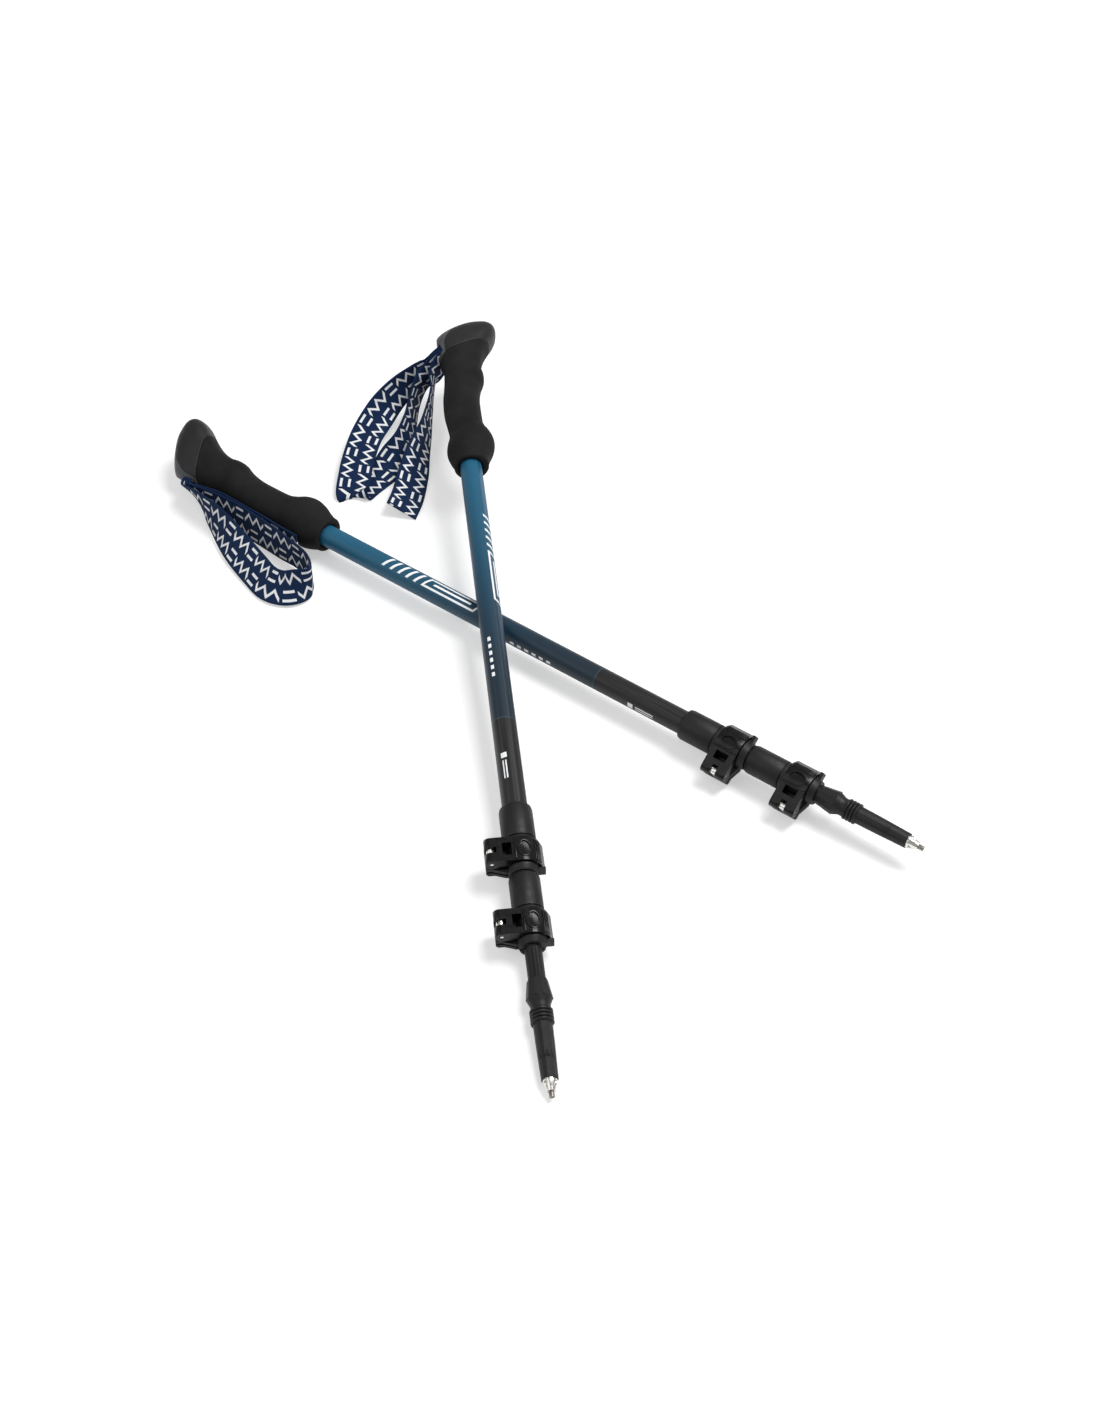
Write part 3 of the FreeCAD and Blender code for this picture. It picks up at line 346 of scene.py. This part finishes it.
def moulded(name, colour, roughness, grain=2600.0, depth=0.00004):
    """Moulded plastic: a fine even grain, soft mottling and slightly uneven gloss."""
    finish = Finish(name, colour, roughness, Specular_IOR_Level=0.28)
    coords = finish.space()
    patches = finish.noise(coords, 90.0, 3.0)
    finish.colour(finish.ramp(patches, (0.3, shaded(colour, 0.8)), (0.7, shaded(colour, 1.2))))
    gloss = finish.noise(coords, 260.0)
    finish.roughness(finish.remap(gloss, 0.3, 0.7, roughness - 0.06, roughness + 0.06))
    finish.bump(finish.noise(coords, grain, 1.0), depth)
    return finish.material


def foam_finish():
    """Closed-cell foam: very matte, with small open cells and faint rubbed patches."""
    finish = Finish("grip_foam", srgb(24, 24, 24), 0.75, Specular_IOR_Level=0.16)
    coords = finish.space()
    patches = finish.noise(coords, 60.0, 4.0)
    finish.colour(finish.ramp(patches, (0.3, srgb(20, 20, 20)), (0.7, srgb(31, 31, 31))))
    cells = finish.cells(coords, 1500.0)
    skin = finish.noise(coords, 700.0, 3.0)
    finish.bump(finish.math("ADD", cells, skin), 0.00010, 0.8)
    return finish.material


def metal_finish(name, colour, roughness):
    finish = Finish(name, colour, roughness, Metallic=1.0)
    coords = finish.space()
    gloss = finish.noise(coords, 500.0, 3.0)
    finish.roughness(finish.remap(gloss, 0.3, 0.7, roughness - 0.08, roughness + 0.1))
    finish.bump(finish.noise(coords, 1800.0, 1.0), 0.00002)
    return finish.material


def carbon_streaks(finish, vector):
    """A 0-1 value that varies in long thin streaks along the pole, like wound fibre under lacquer."""
    stretched = finish.add("ShaderNodeVectorMath", vector, (900.0, 22.0, 900.0), operation="MULTIPLY")
    return finish.noise(stretched, 1.0, 3.0)


def carbon_finish(pole):
    finish = Finish(pole.name + "_carbon", srgb(28, 28, 30), 0.5, Specular_IOR_Level=0.24)
    streaks = carbon_streaks(finish, finish.space(pole.matrix))
    finish.colour(finish.ramp(streaks, (0.3, srgb(14, 14, 16)), (0.72, srgb(32, 32, 34))))
    finish.bump(streaks, 0.00002)
    return finish.material


def between(finish, value, low, high):
    """1 where a length lies between two others, these in millimetres."""
    return finish.product(finish.math("GREATER_THAN", value, low * MM),
                          finish.math("LESS_THAN", value, high * MM))


def within(finish, value, limit):
    """1 where a length is less than a limit in millimetres."""
    return finish.math("LESS_THAN", value, limit * MM)


def beats(finish, value, start, pitch, share):
    """1 in the first share of every pitch along a length."""
    steps = finish.math("DIVIDE", finish.math("SUBTRACT", value, start * MM), pitch * MM)
    return finish.math("LESS_THAN", finish.math("FRACT", steps), share)


def around(finish, x, z, degrees):
    """The distance around the upper shaft from a line along it at an angle from its strap side."""
    turn = math.radians(degrees)
    ahead = finish.math("ADD", finish.product(x, math.cos(turn)), finish.product(z, math.sin(turn)))
    aside = finish.math("SUBTRACT", finish.product(z, math.cos(turn)), finish.product(x, math.sin(turn)))
    return finish.product(finish.math("ARCTAN2", aside, ahead), UPPER_OD / 2 * MM)


def shaft_marks(finish, pole, x, station, z):
    """1 on the plain marks: slanted bars and an outlined stripe, and dashes, a block and two thin lines."""
    height = around(finish, x, z, LARGE_MARK_ANGLE + pole.marks_turn)
    level = finish.math("ABSOLUTE", height)
    slanted = finish.math("ADD", station, finish.product(height, -MARK_SLANT))
    start, end = OUTLINE
    bars = finish.product(between(finish, slanted, *BARS),
                          beats(finish, slanted, BARS[0], BAR_PITCH, BAR_SHARE))
    ends = finish.either(between(finish, slanted, start, start + OUTLINE_LINE),
                         between(finish, slanted, end - OUTLINE_LINE, end))
    sides = finish.product(finish.math("GREATER_THAN", level, OUTLINE_RAIL * MM),
                           between(finish, slanted, start, end))
    core = finish.product(within(finish, level, CORE_HALF), between(finish, slanted, *CORE))
    large = finish.product(finish.either(bars, ends, sides, core), within(finish, level, MARK_HALF))

    low = finish.math("ABSOLUTE", around(finish, x, z, SMALL_MARK_ANGLE + pole.marks_turn))
    dashes = finish.product(between(finish, station, *DASHES), within(finish, low, DASH_HALF),
                            beats(finish, station, DASHES[0], DASH_PITCH, DASH_SHARE))
    block = finish.product(between(finish, station, *BLOCK), within(finish, low, BLOCK_HALF))
    pair = finish.product(between(finish, station, *PAIR), between(finish, low, *PAIR_EDGES))
    return finish.either(large, dashes, block, pair)


def shaft_finish(pole):
    """Satin paint that fades from blue to slate, then bare lacquered carbon, with plain white marks."""
    finish = Finish(pole.name + "_shaft_paint", srgb(48, 106, 145), 0.42, Specular_IOR_Level=0.3)
    vector = finish.space(pole.matrix)
    x, station, z = finish.axes(vector)
    position = finish.remap(station, GRIP_END * MM, PAINT_END * MM)
    paint = finish.ramp(position, (0.0, srgb(31, 92, 121)), (0.3, srgb(30, 81, 106)),
                        (0.62, srgb(28, 57, 76)), (0.8, srgb(27, 46, 60)), (1.0, srgb(27, 41, 52)))
    streaks = carbon_streaks(finish, vector)
    carbon = finish.ramp(streaks, (0.3, srgb(22, 22, 24)), (0.72, srgb(44, 44, 46)))
    bare = finish.math("GREATER_THAN", station, PAINT_END * MM)
    rim = between(finish, station, PAINT_END - PAINT_RIM, PAINT_END)
    coat = finish.mix(rim, finish.mix(bare, paint, carbon), srgb(62, 84, 96))
    finish.colour(finish.mix(shaft_marks(finish, pole, x, station, z), coat, srgb(238, 240, 242)))
    finish.bump(streaks, 0.00002, 0.5)
    return finish.material


def webbing_finish():
    """Woven navy webbing, with painted shade darkening it in the dips of its weave, and a white screen print
    of zigzags and bars in staggered rows.
    """
    finish = Finish("webbing", srgb(20, 42, 85), 0.8, Specular_IOR_Level=0.15)
    coords = finish.tree.nodes.new("ShaderNodeTexCoord").outputs["UV"]
    across, along, _ = finish.axes(coords)
    cell, wave, reach, line = PRINT_CELL * MM, PRINT_WAVE * MM, PRINT_REACH * MM, PRINT_LINE * MM
    marks = []
    for row, shift in ((-PRINT_ROW, 0.0), (PRINT_ROW, 0.5)):
        offset = finish.math("SUBTRACT", across, row * MM)
        phase = finish.math("FRACT", finish.math("ADD", finish.math("DIVIDE", along, cell), shift))
        zigzag = finish.math("PINGPONG", finish.product(phase, cell), wave / 2)
        height = finish.remap(zigzag, 0.0, wave / 2, -reach, reach)
        away = finish.math("ABSOLUTE", finish.math("SUBTRACT", offset, height))
        marks.append(finish.product(finish.math("LESS_THAN", away, line * 1.5),
                                    finish.math("LESS_THAN", phase, ZIGZAG_SHARE)))
        rungs = finish.math("PINGPONG", finish.math("ADD", offset, reach), reach)
        beside = finish.math("ABSOLUTE", finish.math("SUBTRACT", phase, BARS_MIDDLE))
        marks.append(finish.product(finish.math("LESS_THAN", rungs, line),
                                    finish.math("LESS_THAN", finish.math("ABSOLUTE", offset), reach + line),
                                    finish.math("LESS_THAN", beside, BARS_HALF)))
    weft = finish.math("SINE", finish.product(along, 2 * math.pi / (WEFT_PITCH * MM)))
    warp = finish.math("SINE", finish.product(across, 2 * math.pi / (WARP_PITCH * MM)))
    weave = finish.product(weft, warp)
    # painted shade: cloth and ink are darker where the weave dips, in the same places where its bump lies low
    weave_painted_shade = finish.remap(weave, -1.0, 1.0)
    cloth = finish.mix(weave_painted_shade, srgb(12, 30, 60), srgb(22, 47, 84))
    ink = finish.mix(weave_painted_shade, srgb(226, 229, 233), srgb(250, 250, 250))
    finish.colour(finish.mix(finish.either(*marks), cloth, ink))
    finish.bump(weave, 0.00016)
    return finish.material


# ---------------------------------------------------------------- meshes
def new_piece(name, verts, faces, material):
    mesh = bpy.data.meshes.new(name)
    mesh.from_pydata([tuple(v) for v in verts], [], faces)
    mesh.validate()
    mesh.shade_smooth()
    piece = bpy.data.objects.new(name, mesh)
    bpy.context.scene.collection.objects.link(piece)
    mesh.materials.append(material)
    return piece


def spline(values, positions, at):
    """A smooth curve through values at rising positions (Catmull-Rom with uneven steps)."""
    last = len(positions) - 1
    index = max(0, min(last - 1, sum(1 for p in positions if p <= at) - 1))
    before, after = max(index - 1, 0), min(index + 2, last)
    p0, p1 = positions[index], positions[index + 1]
    t = (at - p0) / (p1 - p0)
    slope0 = (values[index + 1] - values[before]) / (p1 - positions[before]) * (p1 - p0)
    slope1 = (values[after] - values[index]) / (positions[after] - p0) * (p1 - p0)
    t2, t3 = t * t, t * t * t
    return (values[index] * (2 * t3 - 3 * t2 + 1) + slope0 * (t3 - 2 * t2 + t)
            + values[index + 1] * (3 * t2 - 2 * t3) + slope1 * (t3 - t2))


def grip_point(station, angle, inset=0.0):
    """A point of the grip's outer skin in the pole's frame."""
    stations = [row[0] for row in GRIP_ROWS]
    front, rear, half = (spline([row[i] for row in GRIP_ROWS], stations, station) for i in (1, 2, 3))
    centre, radius = (rear - front) / 2, (front + rear) / 2
    head_end, foam_start = HEAD_ROWS[-1][0], FOAM_ROWS[0][0]
    share = min(1.0, max(0.0, (station - head_end) / (foam_start - head_end)))
    power = 2 / (HEAD_SQUARENESS + (FOAM_SQUARENESS - HEAD_SQUARENESS) * share)
    across, upward = math.cos(angle), math.sin(angle)
    return Vector((centre + (radius - inset) * math.copysign(abs(across) ** power, across), station,
                   (half - inset) * math.copysign(abs(upward) ** power, upward)))


def seam_station(x):
    """Station of the slanted seam between head and foam at an x across the grip."""
    return SEAM_FRONT + (SEAM_REAR - SEAM_FRONT) / (HEAD_FRONT + HEAD_REAR) * (x + HEAD_FRONT)


def ring_mesh(rings, closed):
    """Verts and quad faces of rings of points; closed joins the last ring to the first."""
    sides = len(rings[0])
    verts = [point for ring in rings for point in ring]
    faces = []
    for index in range(len(rings) - (0 if closed else 1)):
        below, above = index * sides, (index + 1) % len(rings) * sides
        for side in range(sides):
            turn = (side + 1) % sides
            faces.append((below + side, below + turn, above + turn, above + side))
    return verts, faces


def full_turn(sides):
    """Even angles around a ring."""
    return [2 * math.pi * side / sides for side in range(sides)]


def eased(depth, radius):
    """How far a rounded edge stands back at a depth behind its face."""
    return radius * (1 - math.sqrt(max(0.0, 1 - (1 - min(depth, radius) / radius) ** 2)))


def foam_sleeve(pole, material):
    """The foam: an outer skin from the slanted seam to the end, and its bore around the shaft."""
    angles = full_turn(FOAM_SIDES)
    starts = []
    for angle in angles:
        station = SEAM_REAR
        for _ in range(12):         # each pass comes closer to the seam on a skin that slopes
            station = seam_station(grip_point(station, angle).x)
        starts.append(station)

    def skin(stations, inset=0.0):
        return [pole.matrix @ (grip_point(station, angle, inset) * MM)
                for station, angle in zip(stations, angles)]

    # from the seam down the skin, round the lower end, and up the bore to the seam again
    rings = [skin([start + step for start in starts], eased(step, SEAM_EDGE))
             for step in (0.0, 0.15, 0.4, 0.8, 1.3, EDGE_RUN)]
    for row in range(1, FOAM_STEPS + 1):
        share = row / FOAM_STEPS
        rings.append(skin([start + EDGE_RUN + (GRIP_END - start - 2 * EDGE_RUN) * share for start in starts]))
    for step in (1.2, 0.7, 0.35, 0.12, 0.0):
        rings.append(skin([GRIP_END - step] * FOAM_SIDES, eased(step, END_EDGE)))
    bore, socket = UPPER_OD / 2 + FOAM_CLEARANCE, SOCKET_R + FOAM_CLEARANCE
    for radius, station in (
            (bore + 1.9, GRIP_END - 0.1), (bore + 1.1, GRIP_END - 0.5), (bore + 0.4, GRIP_END - 1.6),
            (bore, GRIP_END - 2.6), (bore, 120.0), (bore, 90.0), (bore, SOCKET_END + 1),
            (socket, SOCKET_END), (socket, FOAM_ROWS[0][0])):
        rings.append([pole.place(radius * math.cos(a), station, radius * math.sin(a)) for a in angles])
    rings.append([pole.place(SOCKET_R * math.cos(a), seam_station(SOCKET_R * math.cos(a)) + SEAM_GAP,
                             SOCKET_R * math.sin(a)) for a in angles])
    verts, faces = ring_mesh(rings, True)
    piece = new_piece(pole.node("foam_sleeve"), verts, [face[::-1] for face in faces], material)
    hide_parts(pole.node("grip_foam"))
    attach(piece, pole.body)


def prism(name, outline, half=CUT_HALF):
    """A temporary solid through the grip on an outline of (x, station) points, in the pole's frame."""
    count = len(outline)
    verts = [Vector((x, y, z)) * MM for z in (-half, half) for x, y in outline]
    faces = [tuple(range(count))[::-1], tuple(range(count, 2 * count))]
    faces += [(i, (i + 1) % count, count + (i + 1) % count, count + i) for i in range(count)]
    return temporary(name, verts, faces)


def temporary(name, verts, faces):
    """A solid for booleans, with its normals made to point outwards."""
    mesh = bpy.data.meshes.new(name)
    mesh.from_pydata([tuple(v) for v in verts], [], faces)
    made = bmesh.new()
    made.from_mesh(mesh)
    bmesh.ops.recalc_face_normals(made, faces=made.faces)
    made.to_mesh(mesh)
    made.free()
    solid = bpy.data.objects.new(name, mesh)
    bpy.context.scene.collection.objects.link(solid)
    return solid


def combine(target, tool, operation):
    """Applies a boolean of tool on target and deletes tool."""
    modifier = target.modifiers.new("cut", "BOOLEAN")
    modifier.operation = operation
    modifier.solver = "EXACT"
    modifier.object = tool
    apply_modifiers(target)
    bpy.data.objects.remove(tool)


def apply_modifiers(piece):
    graph = bpy.context.evaluated_depsgraph_get()
    mesh = bpy.data.meshes.new_from_object(piece.evaluated_get(graph))
    piece.modifiers.clear()
    piece.data = mesh


def grip_blank(name):
    """The head end of the grip's form as a closed temporary solid in the pole's frame."""
    sides = 72
    angles = full_turn(sides)
    start = HEAD_ROWS[0][0]
    steps = round((BLANK_END - start) / BLANK_STEP)
    stations = [start + BLANK_STEP * step for step in range(steps + 1)]
    rings = [[grip_point(station, angle) * MM for angle in angles] for station in stations]
    centre = grip_point(start, 0.0) / 2 + grip_point(start, math.pi) / 2
    for share, rise in HEAD_CROWN:
        rings.insert(0, [(centre + (grip_point(start, angle) - centre) * share - Vector((0, rise, 0))) * MM
                         for angle in angles])
    verts, faces = ring_mesh(rings, False)
    count = len(verts)
    faces.append(tuple(range(sides))[::-1])
    faces.append(tuple(range(count - sides, count)))
    return temporary(name, verts, faces)


def beyond_seam():
    """Outline of all that lies on the foam's side of the seam."""
    far = GRIP_END + BEYOND
    return [(-BEYOND, seam_station(-BEYOND)), (BEYOND, seam_station(BEYOND)), (BEYOND, far), (-BEYOND, far)]


def behind(line):
    """Outline of all that lies behind a line across the head, towards the strap side."""
    first, last = line[0], line[-1]
    return list(line) + [(last[0], last[1] + BEYOND), (BEYOND, last[1] + BEYOND), (BEYOND, -BEYOND),
                         (first[0], -BEYOND)]


def slot_outline():
    """Outline of the strap's slot, from behind the pin to beyond the rear of the grip."""
    turn = math.radians(STRAP_SLOT_ANGLE)
    half = STRAP_SLOT_HEIGHT / 2
    outline = []
    for along, up in ((-STRAP_SLOT_BACK, -half), (BEYOND, -half), (BEYOND, half), (-STRAP_SLOT_BACK, half)):
        outline.append((STRAP_PIN_X + along * math.cos(turn) - up * math.sin(turn),
                        STRAP_PIN_Y + along * math.sin(turn) + up * math.cos(turn)))
    return outline


def soften(piece, voxel, rounds):
    """Even quads all over, with every edge eased."""
    remesh = piece.modifiers.new("remesh", "REMESH")
    remesh.mode = "VOXEL"
    remesh.voxel_size = voxel
    smooth = piece.modifiers.new("smooth", "SMOOTH")
    smooth.factor = 0.5
    smooth.iterations = rounds
    apply_modifiers(piece)
    piece.data.shade_smooth()


def finish_head_part(piece, pole, material, part):
    soften(piece, HEAD_VOXEL * MM, HEAD_SMOOTHING)
    piece.data.transform(pole.matrix)
    piece.data.materials.clear()
    piece.data.materials.append(material)
    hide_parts(pole.node(part))
    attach(piece, pole.body)


def head_pieces(pole, head_material, cover_painted_light_material):
    slot_half = STRAP_WIDTH / 2 * SLOT_SHARE + STRAP_SLOT_SIDE
    head = grip_blank(pole.node("head_moulding"))
    combine(head, prism("seam", beyond_seam()), "DIFFERENCE")
    combine(head, prism("rear", behind(COVER_INNER)), "DIFFERENCE")
    combine(head, prism("slot", slot_outline(), slot_half), "DIFFERENCE")
    finish_head_part(head, pole, head_material, "grip_head")
    cover = grip_blank(pole.node("rear_plate"))
    combine(cover, prism("inner", behind(COVER_INNER)), "INTERSECT")
    combine(cover, prism("outer", behind(COVER_OUTER)), "DIFFERENCE")
    combine(cover, prism("seam", beyond_seam()), "DIFFERENCE")
    combine(cover, prism("slot", slot_outline(), slot_half), "DIFFERENCE")
    finish_head_part(cover, pole, cover_painted_light_material, "rear_cover")


# ---------------------------------------------------------------- straps
def route(points, spacing):
    """Even smooth samples through (place, direction) pairs, by the length of the places' path."""
    positions = [0.0]
    for before, after in zip(points, points[1:]):
        positions.append(positions[-1] + (after[0] - before[0]).length)
    count = round(positions[-1] / spacing)
    samples = []
    for index in range(count + 1):
        at = positions[-1] * index / count
        samples.append(tuple(spline([point[part] for point in points], positions, at) for part in range(2)))
    return samples


def gather(distance):
    """Share of the webbing's width at a distance from its start in the slot."""
    share = min(1.0, max(0.0, (distance - STRAP_SLOT_RUN * MM) / (GATHER_RUN * MM)))
    return SLOT_SHARE + (1 - SLOT_SHARE) * share * share * (3 - 2 * share)


def webbing_section():
    """Outline of the webbing across its width: two faces of even steps and two rounded edges."""
    half, thick = STRAP_WIDTH / 2 * MM, STRAP_THICKNESS / 2 * MM
    face = [(step / SECTION_STEPS * (half - thick * EDGE_IN), thick)
            for step in range(-SECTION_STEPS, SECTION_STEPS + 1)]
    edge = [(half, thick * EDGE_FLAT), (half, -thick * EDGE_FLAT)]
    return face + edge + [(u, -v) for u, v in face[::-1]] + [(-u, -v) for u, v in edge]


def webbing(name, pole, rows, material, ends):
    """Webbing through rows of (centre, width direction), with its first end or both ends in the slot."""
    samples = route(rows, 1.0 * MM)
    steps = [(after[0] - before[0]).length for before, after in zip(samples, samples[1:])]
    length = sum(steps)
    section = webbing_section()
    rings, lengths = [], []
    for index, (centre, across) in enumerate(samples):
        ahead = samples[min(index + 1, len(samples) - 1)][0] - samples[max(index - 1, 0)][0]
        lengths.append(sum(steps[:index]))
        share = gather(min(lengths[-1], length - lengths[-1]) if ends == 2 else lengths[-1])
        normal = across.normalized().cross(ahead).normalized()
        across = ahead.cross(normal).normalized()
        rings.append([centre + across * u * share + normal * v for u, v in section])
        for point in rings[-1]:
            point.z = max(point.z, FLOOR_GAP * MM)
    verts, faces = ring_mesh(rings, False)
    sides = len(section)
    faces.append(tuple(range(sides))[::-1])
    faces.append(tuple(range(len(verts) - sides, len(verts))))
    piece = new_piece(name, verts, faces, material)
    layer = piece.data.uv_layers.new(name="print")
    for loop in piece.data.loops:
        ring, side = divmod(loop.vertex_index, sides)
        layer.data[loop.index].uv = (section[side][0], lengths[ring])
    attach(piece, pole.body)
    return piece, length


def slot_rows(pole, layer):
    """Two rows on the webbing's way out of the slot, in one of its layers: -1, 0 or 1."""
    turn = math.radians(STRAP_SLOT_ANGLE)
    across = pole.matrix.to_3x3() @ Vector((0, 0, pole.upright))
    up = layer * STRAP_LAYER
    rows = []
    for depth in (STRAP_PIN_R + STRAP_THICKNESS / 2, STRAP_SLOT_RUN):
        x = STRAP_PIN_X + depth * math.cos(turn) - up * math.sin(turn)
        y = STRAP_PIN_Y + depth * math.sin(turn) + up * math.cos(turn)
        rows.append((pole.place(x, y, 0), across))
    return rows


def ground_rows(pole, rows):
    """A strap's listed rows, moved from beside the pole's head to where the pole lies."""
    turn = pole.ground.to_3x3()
    return [(pole.ground @ (Vector((side, ahead, height)) * MM), turn @ Vector((out, forward, rise)))
            for (ahead, side, height), (forward, out, rise) in rows]


def wrist_strap(pole, material):
    out, back, free = (slot_rows(pole, layer) for layer in pole.layers)
    loop_rows = out + ground_rows(pole, pole.loop) + back[::-1]
    tail_rows = free + ground_rows(pole, pole.tail)
    loop, loop_length = webbing(pole.node("strap_loop"), pole, loop_rows, material, 2)
    tail, tail_length = webbing(pole.node("strap_tail"), pole, tail_rows, material, 1)
    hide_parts(pole.node("wrist_strap"))
    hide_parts(pole.node("wrist_strap"))
    pole.node("strap_pin")
    pole.node("strap_pin")


# ---------------------------------------------------------------- pieces from the construction
def dress(node, material, bevel=0.0):
    """Gives a piece its finish, and eases its edges if it has a bevel."""
    piece = frame["nodes"][node]
    piece.data.materials.clear()
    piece.data.materials.append(material)
    weld = piece.modifiers.new("weld", "WELD")
    weld.merge_threshold = WELD_DISTANCE * MM
    if bevel:
        ease = piece.modifiers.new("ease", "BEVEL")
        ease.width = bevel * MM
        ease.segments = 2
        ease.limit_method = "ANGLE"
        ease.angle_limit = math.radians(EASE_ANGLE)
        ease.harden_normals = True


# ---------------------------------------------------------------- scene
def studio():
    floor = bpy.data.meshes.new("floor")
    floor.from_pydata([(-FLOOR_REACH, -FLOOR_REACH, 0), (FLOOR_REACH, -FLOOR_REACH, 0),
                       (FLOOR_REACH, FLOOR_REACH, 0), (-FLOOR_REACH, FLOOR_REACH, 0)], [], [(0, 1, 2, 3)])
    ground = bpy.data.objects.new("floor", floor)
    bpy.context.scene.collection.objects.link(ground)
    finish = Finish("floor", (FLOOR_TONE, FLOOR_TONE, FLOOR_TONE, 1.0), 1.0)
    rays = finish.tree.nodes.new("ShaderNodeLightPath").outputs
    seen = finish.either(rays["Is Camera Ray"], rays["Is Glossy Ray"], rays["Is Transmission Ray"])
    east, north, _ = finish.axes(finish.space())
    away = finish.math("SQRT", finish.math("ADD", finish.product(east, east), finish.product(north, north)))
    strength = finish.remap(away, GLOW_START, GLOW_END, GLOW_NEAR, GLOW_FAR)
    glow = finish.add("ShaderNodeEmission", WHITE, strength)
    dark = finish.add("ShaderNodeEmission", (0.0, 0.0, 0.0, 1.0), 0.0)
    choice = finish.add("ShaderNodeMixShader", seen, dark, glow)
    total = finish.add("ShaderNodeAddShader", finish.shader.outputs[0], choice)
    finish.tree.links.new(total, finish.tree.nodes["Material Output"].inputs["Surface"])
    floor.materials.append(finish.material)

    world = bpy.data.worlds.new("studio")
    bpy.context.scene.world = world
    world.use_nodes = True
    nodes, links = world.node_tree.nodes, world.node_tree.links
    light, backdrop = nodes["Background"], nodes.new("ShaderNodeBackground")
    for background, strength in ((light, WORLD_STRENGTH), (backdrop, BACKDROP_STRENGTH)):
        background.inputs["Color"].default_value = WHITE
        background.inputs["Strength"].default_value = strength
    choose = nodes.new("ShaderNodeMixShader")
    sources = nodes.new("ShaderNodeLightPath").outputs["Is Camera Ray"], light.outputs[0], backdrop.outputs[0]
    for source, socket in zip(sources, choose.inputs):
        links.new(source, socket)
    links.new(choose.outputs[0], nodes["World Output"].inputs["Surface"])
    for name, place, size, power in LAMPS:
        lamp = bpy.data.lights.new(name, "AREA")
        lamp.shape = "SQUARE"
        lamp.size = size
        lamp.energy = power
        holder = bpy.data.objects.new(name, lamp)
        holder.location = place
        holder.rotation_euler = (-Vector(place)).to_track_quat("-Z", "Y").to_euler()
        bpy.context.scene.collection.objects.link(holder)


def camera():
    data = bpy.data.cameras.new("camera")
    data.sensor_fit = "VERTICAL"
    data.sensor_height = SENSOR_HEIGHT
    data.lens = LENS
    data.clip_start = 0.01
    eye = bpy.data.objects.new("camera", data)
    tilt = math.radians(CAMERA_ELEVATION)
    eye.location = AIM + Vector((0, -math.cos(tilt), math.sin(tilt))) * CAMERA_DISTANCE
    eye.rotation_euler = (math.radians(90 - CAMERA_ELEVATION), 0, 0)
    bpy.context.scene.collection.objects.link(eye)
    bpy.context.scene.camera = eye


def build():
    head = moulded("head_plastic", srgb(33, 33, 34), 0.46)
    # painted light: the cover's grey, lighter than the head's, stands in for the light that falls on the rear
    # plate's face
    cover = moulded("cover_plastic", srgb(73, 74, 77), 0.45)
    foam = foam_finish()
    webbing_material = webbing_finish()
    lock_plastic = moulded("lock_plastic", srgb(25, 25, 26), 0.5, grain=1900.0)
    lever_plastic = moulded("lever_plastic", srgb(8, 8, 9), 0.3, depth=0.000004)
    ferrule_plastic = moulded("ferrule_plastic", srgb(26, 26, 27), 0.5)
    bush_plastic = moulded("bush_plastic", srgb(70, 70, 70), 0.5)
    guide_plastic = moulded("guide_plastic", srgb(150, 150, 148), 0.5)
    bright = metal_finish("bright_metal", srgb(222, 221, 216), 0.24)
    nut = metal_finish("nut_metal", srgb(120, 120, 124), 0.34)
    carbide = metal_finish("carbide", srgb(142, 138, 130), 0.38)
    for pole in POLES:
        carbon = carbon_finish(pole)
        head_pieces(pole, head, cover)
        foam_sleeve(pole, foam)
        wrist_strap(pole, webbing_material)
        dress(pole.node("upper_shaft"), shaft_finish(pole))
        dress(pole.node("strap_pin"), bright, 0.2)
        for part in ("middle_shaft", "lower_shaft"):
            dress(pole.node(part), carbon)
        for part in ("middle_guide", "lower_guide"):
            dress(pole.node(part), guide_plastic)
        for lock in ("upper_lock_", "lower_lock_"):
            dress(pole.node(lock + "body"), lock_plastic, 0.2)
            dress(pole.node(lock + "lever"), lever_plastic, 0.22)
            dress(pole.node(lock + "bush"), bush_plastic)
            for part in ("saddle", "screw", "pivot"):
                dress(pole.node(lock + part), bright)
            dress(pole.node(lock + "nut"), nut)
        dress(pole.node("ferrule"), ferrule_plastic, 0.15)
        dress(pole.node("tip_crown"), bright)
        dress(pole.node("carbide_tip"), carbide)


build()
studio()
camera()
bpy.context.scene.view_settings.view_transform = "Standard"
